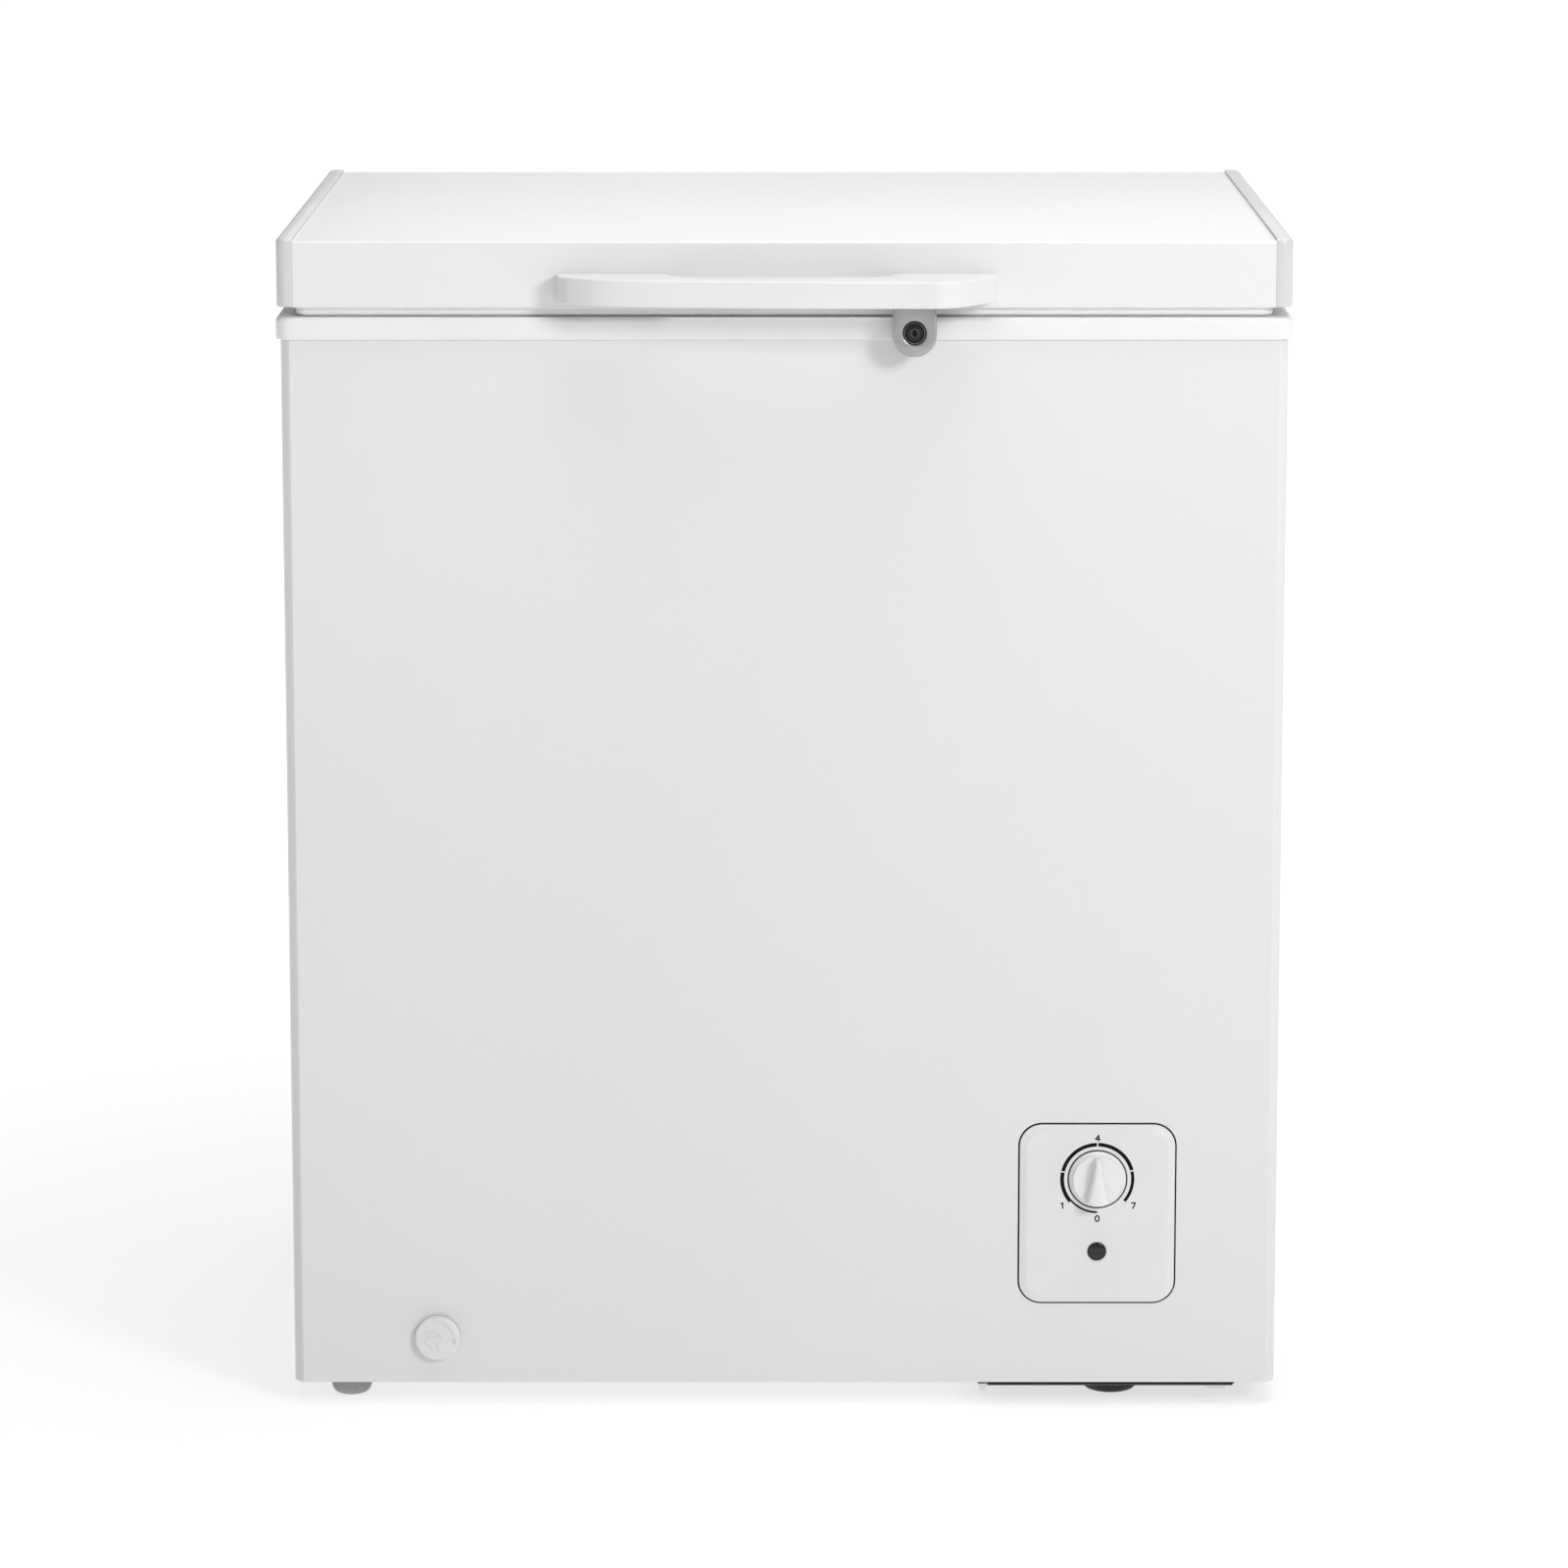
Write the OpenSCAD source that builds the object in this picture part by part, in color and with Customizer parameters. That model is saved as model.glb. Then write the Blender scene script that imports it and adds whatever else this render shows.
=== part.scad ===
// Compact chest freezer: foamed cabinet, hinged lid with lock, machine compartment on the right.
// Millimetres. +Z up, -Y is the front. The origin is the bottom centre of the object's box.

/* [Cabinet] */
// Width of the sheet steel cabinet
cabinet_w = 715; // [660:5:760]
// Depth of the sheet steel cabinet
cabinet_d = 546; // [530:2:560]
// Height of the feet under the cabinet
foot_h = 16.5; // [14:0.5:20]
// Height of the plastic top frame's upper face above the floor
frame_top = 796; // [780:2:820]
// Thickness of the insulated wall, sheet to liner
wall_t = 62.5; // [58:0.5:66]

/* [Lid] */
// Width of the lid over its end caps
lid_w = 719; // [664:5:764]
// Depth of the lid, front face to rear face
lid_d = 550; // [534:2:564]
// Height of the lid's top sheet above the floor
lid_top = 850; // [838:2:876]
// How far the lid can open, in degrees
lid_open = 80; // [60:5:85]

/* [Handle and lock] */
// How far the handle stands out from the lid
handle_reach = 61; // [50:1:70]
// Height of the handle's grip
handle_h = 18.6; // [16:0.2:24]
// Sideways place of the lock, from the middle of the lid
lock_x = 91.6; // [70:0.2:100]

/* [Controls and drain] */
// Sideways place of the control panel, from the middle
panel_x = 226.8; // [215:0.2:240]
// Height of the control panel's centre above the floor
panel_z = 143.3; // [130:0.1:170]
// Sideways place of the drain outlet, from the middle
drain_x = -252.4; // [-270:0.2:-200]
// Height of the drain outlet above the floor
drain_z = 50.7; // [46:0.1:52]

/* [Basket] */
// Width of the hanging basket
basket_w = 190; // [150:5:220]
// Depth of the hanging basket below its rim
basket_h = 176; // [120:4:200]

/* [Hidden] */
$fn = 48;

// Running clearance of shafts in their bores, and the gap left between parts that are foamed together
run_gap = 0.05;
skin_gap = 0.2;
sheet_t = 1;

// Hinge line, behind the lid and just above the frame
hinge_back = 15;
knuckle_r = 7;
pin_r = 3;
hinge_x = 235;
hinge_z = frame_top + 4;

// Front-to-back places: the object's box is centred on the origin
rear_reach = lid_d + hinge_back + knuckle_r;
lid_front = -(rear_reach - handle_reach) / 2;
lid_rear = lid_front + lid_d;
hinge_y = lid_rear + hinge_back;
cab_front = lid_front + (lid_d - cabinet_d) / 2;
cab_rear = cab_front + cabinet_d;
cab_mid = (cab_front + cab_rear) / 2;
side_x = cabinet_w / 2;

// Vertical stack
lid_bottom = frame_top + 7;
frame_bottom = frame_top - 16;
ledge_z = frame_top - 12;

// Front upright edges: a 15 mm curve that stops in a crease where it meets the front face
edge_r = 15;
edge_sweep = 58;
rear_edge_r = 4;

// Inner liner and the step over the machine compartment
liner_w = cabinet_w - 2 * wall_t;
liner_d = cabinet_d - 2 * (wall_t - 0.5);
liner_r = 25;
liner_floor = 72;
step_x = 158;
step_z = 285;
liner_step_x = step_x - 58;
liner_step_z = step_z + 55;

// Top frame: opening at the top face, and the narrower opening below the basket ledge
rim_w = liner_w + 16;
rim_d = liner_d + 16;
throat_w = liner_w - 4;
throat_d = liner_d - 4;

// Machine compartment
plate_x0 = 141;
plate_x1 = 328;
comp_x = 255;
comp_y = cab_rear - 135;
mount_dx = 58;
mount_dy = 98;

// Control panel
panel_w = 112.4;
panel_h = 132.4;
knob_x = panel_x;
knob_z = panel_z + 26.2;
lens_z = panel_z - 27.8;

// Lid end caps and gasket
cap_w = 12;
cap_top = lid_top + 2;
gasket_w = lid_w - 26;
gasket_d = lid_d - 10;
plug_w = liner_w - 30;
plug_d = liner_d - 30;

// Handle grip, seen from above: distance out from the lid against sideways place
handle_z = lid_bottom + 5.6;
handle_left = -160;
handle_right = 149;
grip_back = 26;
handle_wall = 2.6;
handle_front = [[handle_left, 18], [-150, 30], [-126, 44], [-90, 50.5], [-45, 54.5], [0, 57.5],
                [50, 60], [95, handle_reach - 0.2], [111, 59.5], [124, 51], [137, 34], [handle_right, 16]];

// Lock tab that hangs below the handle, in front of the top frame
tab_r = 15.5;
lock_z = frame_top - 8.6;
tab_z = lock_z - 1.5;
tab_back = 15;
tab_front = 24;
barrel_r = 7.8;
cam_out = 6;
cam_t = 3;

// Basket wires
rod = 5;
wire_d = 3;
basket_x = -(rim_w / 2 - basket_w / 2 - 25);
basket_rail_y = (rim_d + throat_d) / 4;
basket_y = throat_d / 2 - 6;

// ---------- shared shapes ----------

function arc(c, r, a0, a1, n = 6) = [for (i = [0:n]) let (a = a0 + (a1 - a0) * i / n) c + r * [cos(a), sin(a)]];

function rrect(w, d, r, c = [0, 0], n = 6) = concat(
    arc(c + [w / 2 - r, d / 2 - r], r, 0, 90, n), arc(c + [-w / 2 + r, d / 2 - r], r, 90, 180, n),
    arc(c + [-w / 2 + r, -d / 2 + r], r, 180, 270, n), arc(c + [w / 2 - r, -d / 2 + r], r, 270, 360, n));

// Plan outline of the cabinet, set in by t
function cabinet_outline(t = 0) =
    let (rc = max(rear_edge_r, t + 0.5), r = edge_r - t, yc = cab_front + edge_r * sin(edge_sweep),
         last = asin((yc - cab_front - t) / r))
    concat(arc([side_x - rc, cab_rear - rc], rc - t, 0, 90),
           arc([-side_x + rc, cab_rear - rc], rc - t, 90, 180),
           arc([-side_x + edge_r, yc], r, 180, 180 + last), arc([side_x - edge_r, yc], r, 360 - last, 360));

function unit(v) = v / norm(v);
function spline(p0, p1, p2, p3, t) = 0.5 * (2 * p1 + (p2 - p0) * t + (2 * p0 - 5 * p1 + 4 * p2 - p3) * t * t
                                            + (3 * p1 - p0 - 3 * p2 + p3) * t * t * t);
function smooth(pts, n = 4) = [for (i = [0:len(pts) - 2]) for (k = [0:n - 1])
    spline(pts[max(i - 1, 0)], pts[i], pts[i + 1], pts[min(i + 2, len(pts) - 1)], k / n), pts[len(pts) - 1]];
function tangent(path, i) = unit(path[min(i + 1, len(path) - 1)] - path[max(i - 1, 0)]);
function normals(path, prev, i = 0) = i == len(path) ? [] :
    let (t = tangent(path, i), n = unit(prev - t * (prev * t))) concat([n], normals(path, n, i + 1));

// A bent tube or cable of round section along a path
module tube(path, r, start = [0.31, 0.52, 0.8], sides = 8) {
    n = len(path);
    across = normals(path, start);
    points = [for (i = [0:n - 1]) let (t = tangent(path, i), v = cross(t, across[i])) for (k = [0:sides - 1])
        path[i] + r * (across[i] * cos(360 * k / sides) + v * sin(360 * k / sides))];
    walls = [for (i = [0:n - 2]) for (k = [0:sides - 1])
        let (a = i * sides + k, b = i * sides + (k + 1) % sides)
        each [[a, b + sides, b], [a, a + sides, b + sides]]];
    polyhedron(points, concat(walls, [[for (k = [0:sides - 1]) k]],
                              [[for (k = [sides - 1:-1:0]) (n - 1) * sides + k]]));
}

module along_x(x0, x1) translate([x0, 0, 0]) rotate([90, 0, 90]) linear_extrude(x1 - x0) children();
module along_y(y0, y1) translate([0, y1, 0]) rotate([90, 0, 0]) linear_extrude(y1 - y0) children();
module rod_y(x, z, y0, y1, r) translate([x, y1, z]) rotate([90, 0, 0]) cylinder(h = y1 - y0, r = r);
module rod_x(y, z, x0, x1, r) translate([x0, y, z]) rotate([0, 90, 0]) cylinder(h = x1 - x0, r = r);
module slab(points, z0, z1) translate([0, 0, z0]) linear_extrude(z1 - z0) polygon(points);
module ring(outer, inner, z0, z1) translate([0, 0, z0]) linear_extrude(z1 - z0) difference() {
    polygon(outer);
    polygon(inner);
}
module box(lo, hi) translate(lo) cube(hi - lo);

// Pan-head screw along Y; the head sits at y on the side that dir points to
module screw_y(x, y, z, dir, head_r, shank_r, length) {
    rod_y(x, z, min(y, y + dir * 2.2), max(y, y + dir * 2.2), head_r);
    rod_y(x, z, min(y, y - dir * length), max(y, y - dir * length), shank_r);
}

// ---------- cabinet shell ----------

panel_hole = [98, 118];
vent_y = [cab_rear - 210, cab_rear - 60];
vent_z = [70, 240];

module cabinet_wrap() color("whitesmoke") difference() {
    ring(cabinet_outline(0), cabinet_outline(sheet_t), foot_h, frame_top - 4);
    box([-side_x + 14, cab_rear - 5, 0], [side_x - 14, cab_rear + 5, frame_top]);
    along_y(cab_front - 5, cab_front + 5) translate([panel_x, panel_z]) square(panel_hole, center = true);
    rod_y(drain_x, drain_z, cab_front - 5, cab_front + 5, 12.7);
    box([side_x - 5, vent_y[0], vent_z[0]], [side_x + 5, vent_y[1], vent_z[1]]);
}

grille_x = [step_x + 5, side_x - 16];
grille_z = [20, step_z - 5];

module rear_grille_at(inset) {
    for (x = [grille_x[0] + inset, grille_x[1] - inset]) for (z = [grille_z[0] + inset, grille_z[1] - inset])
        translate([x, 0, z]) children();
}

module hinge_screw_spots(rows, dy) {
    for (side = [-1, 1]) for (dx = [-22, 22]) for (z = rows) translate([side * hinge_x + dx, dy, z]) children();
}
cabinet_rows = [frame_bottom - 76, frame_bottom - 26];
lid_rows = [lid_bottom + 15, lid_bottom + 34];

module rear_panel() color("gainsboro") difference() {
    box([-side_x + 4.2, cab_rear - 2, foot_h], [side_x - 4.2, cab_rear - 1, frame_top - 4.2]);
    box([grille_x[0] + 9, cab_rear - 5, grille_z[0] + 9], [grille_x[1] - 9, cab_rear + 5, grille_z[1] - 9]);
    rear_grille_at(5) rod_y(0, 0, cab_rear - 5, cab_rear + 5, 1.8);
    hinge_screw_spots(cabinet_rows, cab_rear) rod_y(0, 0, -5, 5, 2.2);
}

module bottom_panel() color("silver") intersection() {
    along_y(cab_front + 1.2, cab_rear - 2.2)
        polygon([[-side_x + 1.2, foot_h], [step_x, foot_h], [step_x, step_z - 1], [side_x - 1.2, step_z - 1],
                 [side_x - 1.2, step_z], [step_x - 1, step_z], [step_x - 1, foot_h + 1],
                 [-side_x + 1.2, foot_h + 1]]);
    slab(cabinet_outline(1.2), foot_h - 5, step_z + 5);
}

// ---------- insulation, liner and the coils between them ----------

function upper_tub(t) = rrect(liner_w + 2 * t, liner_d + 2 * t, liner_r + t, [0, cab_mid]);
function lower_tub(t) = rrect(liner_w / 2 + liner_step_x + 2 * t, liner_d + 2 * t, liner_r + t,
                              [(liner_step_x - liner_w / 2) / 2, cab_mid]);

module tub(t, top) {
    slab(upper_tub(t), liner_step_z - t, top);
    slab(lower_tub(t), liner_floor - t, liner_step_z + 1);
}

coil = 6;
evaporator_z = [for (i = [0:6]) 400 + 52 * i];
condenser_z = [for (i = [0:5]) 330 + 76 * i];

// Flat-sided tube turns with risers at the back; grow makes the matching groove in the foam
module evaporator(grow) {
    for (z = evaporator_z)
        ring(upper_tub(1.4 + coil + grow), upper_tub(1.4 - grow), z - grow, z + coil + grow);
    box([-60 - grow, cab_mid + liner_d / 2 + 1.4 - grow, evaporator_z[0]],
        [-60 + coil + grow, cab_mid + liner_d / 2 + 1.4 + coil + grow, evaporator_z[6] + 1]);
}
module condenser(grow) {
    for (z = condenser_z)
        ring(cabinet_outline(2.6 - grow), cabinet_outline(2.6 + coil + grow), z - grow, z + coil + grow);
    box([60 - grow, cab_rear - 2.6 - coil - grow, condenser_z[0]],
        [60 + coil + grow, cab_rear - 2.6 + grow, condenser_z[5] + 1]);
}

drain_back = cab_front + 100;
module foam_insulation() color("khaki") difference() {
    slab(cabinet_outline(1.2), foot_h + 1.2, frame_top - 4.2);
    box([-side_x, cab_rear - 2.2, 0], [side_x, cab_rear + 5, frame_top]);
    box([step_x - 1.2, cab_front - 5, 0], [side_x + 5, cab_rear + 5, step_z + 0.2]);
    tub(1 + skin_gap, frame_top);
    slab(rrect(rim_w + 6, rim_d + 6, liner_r + 11, [0, cab_mid]), ledge_z - 5.2, frame_top);
    evaporator(skin_gap);
    condenser(skin_gap);
    rod_y(drain_x, drain_z, cab_front - 5, drain_back, 12.7);
    translate([drain_x, drain_back, drain_z - 12.7]) cylinder(h = liner_floor - drain_z + 14, r = 12.7);
    hinge_screw_spots(cabinet_rows, cab_rear) rod_y(0, 0, -8, 5, 2.3);
}

module inner_liner() color("white") difference() {
    union() {
        tub(1, ledge_z - 4);
        slab(rrect(rim_w + 5, rim_d + 5, liner_r + 10, [0, cab_mid]), ledge_z - 5, ledge_z - 4);
    }
    tub(0, frame_top);
    translate([drain_x, drain_back, liner_floor - 5]) cylinder(h = 10, r = 8);
}

module evaporator_coil() color("silver") evaporator(0);
module condenser_coil() color("peru") condenser(0);

module top_frame() color("white") difference() {
    union() {
        difference() {
            hull() {
                slab(rrect(lid_w + 2, lid_d + 2, 12, [0, cab_mid]), frame_bottom, frame_top - 3.5);
                slab(rrect(lid_w, lid_d, 11, [0, cab_mid]), frame_top - 2, frame_top - 1.2);
                slab(rrect(lid_w - 5, lid_d - 5, 9, [0, cab_mid]), frame_top - 1, frame_top);
            }
            slab(cabinet_outline(-0.4), frame_bottom - 5, frame_top - 3);
        }
        ring(rrect(rim_w + 5, rim_d + 5, liner_r + 10, [0, cab_mid]),
             rrect(rim_w, rim_d, liner_r + 8, [0, cab_mid]), ledge_z - 3.5, frame_top - 2);
        ring(rrect(rim_w + 5, rim_d + 5, liner_r + 10, [0, cab_mid]),
             rrect(throat_w, throat_d, liner_r - 2, [0, cab_mid]), ledge_z - 3, ledge_z);
        ring(rrect(throat_w + 3, throat_d + 3, liner_r - 0.5, [0, cab_mid]),
             rrect(throat_w, throat_d, liner_r - 2, [0, cab_mid]), ledge_z - 14, ledge_z - 1);
    }
    slab(rrect(rim_w, rim_d, liner_r + 8, [0, cab_mid]), ledge_z, frame_top + 5);
    for (dx = [-10.5, 10.5]) rod_y(lock_x + dx, frame_top - 11, lid_front - 5, lid_front + 1.2, 1.1);
}

// ---------- machine compartment ----------

module compressor_mounts() {
    for (dx = [-mount_dx, mount_dx]) for (dy = [-mount_dy, mount_dy])
        translate([comp_x + dx, comp_y + dy, foot_h]) children();
}

module compressor_base_plate() color("silver") difference() {
    union() {
        box([plate_x0, cab_front + 1.3, foot_h - 1.5], [plate_x1, cab_rear - 2.4, foot_h]);
        for (y = [cab_front + 1.3, cab_rear - 3.9])
            box([step_x + 4, y, foot_h - 1], [plate_x1, y + 1.5, foot_h + 14]);
        // hooks bent down at the front corners
        along_y(cab_front + 2.5, cab_front + 3.8) polygon([[plate_x0, foot_h - 1], [plate_x0 + 1, foot_h - 4.5],
            [plate_x0 + 3, foot_h - 8], [plate_x0 + 5, foot_h - 6.6], [plate_x0 + 8, foot_h - 1]]);
        along_y(cab_front + 2.5, cab_front + 3.8) polygon([[plate_x1 - 24, foot_h - 1],
            [plate_x1 - 20, foot_h - 4.8], [plate_x1 - 17, foot_h - 5.5], [plate_x1 - 10, foot_h - 5.5],
            [plate_x1 - 7, foot_h - 4.8], [plate_x1 - 4, foot_h - 1]]);
    }
    compressor_mounts() translate([0, 0, -5]) cylinder(h = 10, r = 4.2);
    rear_grille_at(5) rod_y(0, 0, cab_rear - 8, cab_rear, 2);
}

module compressor_shell() color("#202022") difference() {
    union() {
        hull() {
            slab(rrect(110, 150, 50, [comp_x, comp_y]), foot_h + 13.5, foot_h + 20);
            slab(rrect(136, 178, 64, [comp_x, comp_y]), foot_h + 36, foot_h + 84);
        }
        slab(rrect(144, 186, 68, [comp_x, comp_y]), foot_h + 82, foot_h + 88);
        hull() {
            slab(rrect(134, 176, 63, [comp_x, comp_y]), foot_h + 86, foot_h + 118);
            slab(rrect(112, 154, 52, [comp_x, comp_y]), foot_h + 138, foot_h + 148);
            slab(rrect(80, 120, 38, [comp_x, comp_y]), foot_h + 150, foot_h + 154);
        }
        for (dy = [-1, 1]) {
            box([comp_x - mount_dx - 14, comp_y + dy * mount_dy - 14, foot_h + 10],
                [comp_x + mount_dx + 14, comp_y + dy * mount_dy + 14, foot_h + 12.5]);
            box([comp_x - 30, comp_y + dy * 70 - 20, foot_h + 10],
                [comp_x + 30, comp_y + dy * 70 + 20, foot_h + 24]);
        }
    }
    hull() {
        slab(rrect(104, 144, 47, [comp_x, comp_y]), foot_h + 17, foot_h + 22);
        slab(rrect(130, 172, 61, [comp_x, comp_y]), foot_h + 37, foot_h + 118);
        slab(rrect(106, 148, 49, [comp_x, comp_y]), foot_h + 138, foot_h + 145);
    }
    compressor_mounts() cylinder(h = 16, r = 7.7);
}

// Motor and pump that hang inside the welded shell on short springs
module compressor_pump_unit() color("dimgray") translate([comp_x, comp_y, foot_h]) {
    difference() {
        union() {
            translate([0, 0, 30]) cylinder(h = 52, r = 50);
            translate([0, 0, 82]) cylinder(h = 18, r = 46);
        }
        translate([0, 0, 25]) cylinder(h = 50, r = 30);
    }
    translate([0, 0, 28]) cylinder(h = 44, r = 29.4);
    box([-26, -10, 99], [26, 62, 128]);
    box([-20, 61, 102], [20, 70, 125]);
    for (dx = [-32, 32]) for (dy = [-32, 32]) translate([dx, dy, 17]) cylinder(h = 14, r = 6);
}

module compressor_grommets() color("#303030") compressor_mounts() difference() {
    union() {
        cylinder(h = 9.9, r = 11);
        cylinder(h = 13, r = 7.6);
        translate([0, 0, 12.6]) cylinder(h = 4, r = 10);
    }
    translate([0, 0, -1]) cylinder(h = 30, r = 4.2);
}

module compressor_bolts() color("silver") compressor_mounts() {
    translate([0, 0, -1.5]) cylinder(h = 22, r = 4.1);
    translate([0, 0, -4.5]) cylinder(h = 3, r = 7, $fn = 6);
    translate([0, 0, 16.7]) cylinder(h = 1.5, r = 9);
    translate([0, 0, 18.2]) cylinder(h = 5, r = 7, $fn = 6);
}

terminal_y = comp_y - 93;
module compressor_terminal_box() color("#2a2a2c") {
    box([comp_x - 32, terminal_y - 34, foot_h + 50], [comp_x + 32, terminal_y, foot_h + 108]);
    box([comp_x - 24, terminal_y - 40, foot_h + 56], [comp_x + 24, terminal_y - 33, foot_h + 102]);
}

// Pipes end just short of the compressor shell and of the partition
pipe_y = comp_y - 30;
module suction_pipe() color("peru") tube(smooth([[step_x + 2, pipe_y + 30, step_z - 60],
    [step_x + 16, pipe_y + 30, step_z - 60], [step_x + 19, pipe_y + 20, step_z - 80],
    [step_x + 19, pipe_y, 150], [step_x + 24, pipe_y, 136]]), 4);
module discharge_pipe() color("peru") tube(smooth([
    [comp_x + 74, comp_y + 20, 132], [comp_x + 83, comp_y + 20, 134], [comp_x + 87, comp_y + 12, 150],
    [comp_x + 87, comp_y - 10, 220], [comp_x + 82, comp_y - 30, 258],
    [comp_x + 50, comp_y - 40, 266], [step_x + 30, comp_y - 40, 266], [step_x + 2, comp_y - 40, 266]]), 3);

drier_x = step_x + 22;
drier_y = comp_y - 150;
module filter_drier() color("darkgoldenrod") translate([drier_x, drier_y, 150]) rotate_extrude()
    polygon([[0, 0], [3, 0], [3, 10], [9, 18], [9, 66], [3, 74], [3, 84], [0, 84]]);
module capillary_tube() color("peru") {
    turns = 4;
    loop_r = 16;
    tube([for (i = [0:14 * turns]) let (a = i * 360 / 14)
          [step_x + 22 + loop_r * cos(a), drier_y - 45 + loop_r * sin(a), 180 + i * 6 / 14]],
         1.2, [0, 0, 1], 6);
}

module wiring_harness() color("#e8e8e8") {
    tube(smooth([[knob_x - 8, cab_front + 34, knob_z + 4], [knob_x - 12, cab_front + 50, knob_z],
        [knob_x - 10, cab_front + 90, 120], [comp_x - 5, cab_front + 150, 70], [comp_x, terminal_y - 90, 60],
        [comp_x, terminal_y - 60, 80], [comp_x, terminal_y - 42, 90]]), 3.5);
}

// The cord leaves through a black corner plate that fills the grille's lower inner corner
gland_w = 52;
gland_x = grille_x[0] + gland_w / 2;
gland_z = grille_z[0] + gland_w / 2;
module mains_cord_gland() color("#202020") difference() {
    union() {
        box([grille_x[0], cab_rear - 1, grille_z[0]],
            [grille_x[0] + gland_w, cab_rear + 1.5, grille_z[0] + gland_w]);
        rod_y(gland_x, gland_z, cab_rear + 1.4, cab_rear + 5, 11);
        rod_y(gland_x, gland_z, cab_rear - 12, cab_rear, 8);
    }
    rod_y(gland_x, gland_z, cab_rear - 13, cab_rear + 6, 4);
    rear_grille_at(5) rod_y(0, 0, cab_rear - 5, cab_rear + 5, 1.8);
}

module rear_grille() color("#f0f0f0") difference() {
    box([grille_x[0], cab_rear - 1, grille_z[0]], [grille_x[1], cab_rear + 1.5, grille_z[1]]);
    for (i = [0:11]) box([grille_x[0] + 24, cab_rear - 5, grille_z[0] + 62 + 15 * i],
                         [grille_x[1] - 24, cab_rear + 5, grille_z[0] + 69 + 15 * i]);
    rear_grille_at(5) rod_y(0, 0, cab_rear - 5, cab_rear + 5, 1.8);
    box([grille_x[0] - 1, cab_rear - 5, grille_z[0] - 1],
        [grille_x[0] + gland_w + 0.3, cab_rear + 5, grille_z[0] + gland_w + 0.3]);
}
module rear_grille_screws() color("silver") rear_grille_at(5) screw_y(0, cab_rear + 1.5, 0, 1, 4, 1.6, 8);

module side_grille() color("#f0f0f0") difference() {
    union() {
        box([side_x + 0.1, vent_y[0] - 8, vent_z[0] - 8], [side_x + 2.4, vent_y[1] + 8, vent_z[1] + 8]);
        box([side_x - 10, vent_y[0] + 0.5, vent_z[0] + 0.5], [side_x + 0.2, vent_y[1] - 0.5, vent_z[1] - 0.5]);
    }
    box([side_x - 12, vent_y[0] + 3, vent_z[0] + 3], [side_x - 1, vent_y[1] - 3, vent_z[1] - 3]);
    for (i = [0:11]) box([side_x - 12, vent_y[0] + 8, vent_z[0] + 8 + 13 * i],
                         [side_x + 5, vent_y[1] - 8, vent_z[0] + 14 + 13 * i]);
}

// ---------- controls ----------

module control_panel() color("white") difference() {
    union() {
        hull() {
            along_y(cab_front - 0.9, cab_front) polygon(rrect(panel_w, panel_h, 16, [panel_x, panel_z]));
            along_y(cab_front - 3, cab_front - 2.4)
                polygon(rrect(panel_w - 9, panel_h - 9, 13, [panel_x, panel_z]));
        }
        along_y(cab_front - 0.5, cab_front + 26) polygon(rrect(96, 116, 8, [panel_x, panel_z]));
    }
    along_y(cab_front + 2.5, cab_front + 30) polygon(rrect(91, 111, 6, [panel_x, panel_z]));
    rod_y(knob_x, knob_z, cab_front - 5, cab_front - 1, 21.3);
    rod_y(knob_x, knob_z, cab_front - 5, cab_front + 5, 5.2);
    rod_y(panel_x, lens_z, cab_front - 5, cab_front + 5, 6.9);
}

module thermostat_body() color("silver") difference() {
    union() {
        rod_y(knob_x, knob_z, cab_front - 0.8, cab_front + 3, 5);
        box([knob_x - 22, cab_front + 2.7, knob_z - 16], [knob_x + 22, cab_front + 32, knob_z + 16]);
    }
    rod_y(knob_x, knob_z, cab_front - 2, cab_front + 12, pin_r + run_gap);
}
module thermostat_capillary() color("peru") tube(smooth([[knob_x + 16, cab_front + 33, knob_z + 8],
    [knob_x + 22, cab_front + 44, knob_z + 20], [knob_x + 16, cab_front + 66, knob_z + 60],
    [knob_x - 20, cab_front + 90, step_z - 12], [step_x + 8, cab_front + 110, step_z - 8]]), 1.4, sides = 6);

module indicator_lens() color("#202226") rotate_about(panel_x, lens_z, cab_front - 3)
    rotate_extrude()
    polygon(concat([[0, -9], [6.8, -9], [6.8, 0.2]], [for (a = [10:20:90]) [6.8 * cos(a), 2 * sin(a)]]));
module rotate_about(x, z, y) translate([x, y, z]) rotate([90, 0, 0]) children();

module indicator_lamp() color("white") {
    box([panel_x - 8, cab_front + 6.2, lens_z - 8], [panel_x + 8, cab_front + 24, lens_z + 8]);
    box([panel_x - 3, cab_front + 23, lens_z - 5], [panel_x + 3, cab_front + 30, lens_z + 5]);
}

module thermostat_knob() color("white") difference() {
    union() {
        rod_y(knob_x, knob_z, cab_front - 5.5, cab_front - 1.3, 20.8);
        rod_y(knob_x, knob_z, cab_front - 8, cab_front - 5.4, 18.4);
        hull() {
            along_y(cab_front - 8, cab_front - 7) translate([knob_x, knob_z])
                polygon([[-2.6, 18], [2.6, 18], [9.5, -15.5], [5, -17.6], [-5, -17.6], [-9.5, -15.5]]);
            along_y(cab_front - 18, cab_front - 17) translate([knob_x, knob_z])
                polygon([[-1.2, 17], [1.2, 17], [6.2, -15], [3.5, -16.6], [-3.5, -16.6], [-6.2, -15]]);
        }
    }
    rod_y(knob_x, knob_z, cab_front - 14, cab_front + 1, pin_r);
}
module thermostat_shaft() color("silver") rod_y(knob_x, knob_z, cab_front - 13.8, cab_front + 11, pin_r - 0.02);

// ---------- drain ----------

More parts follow.
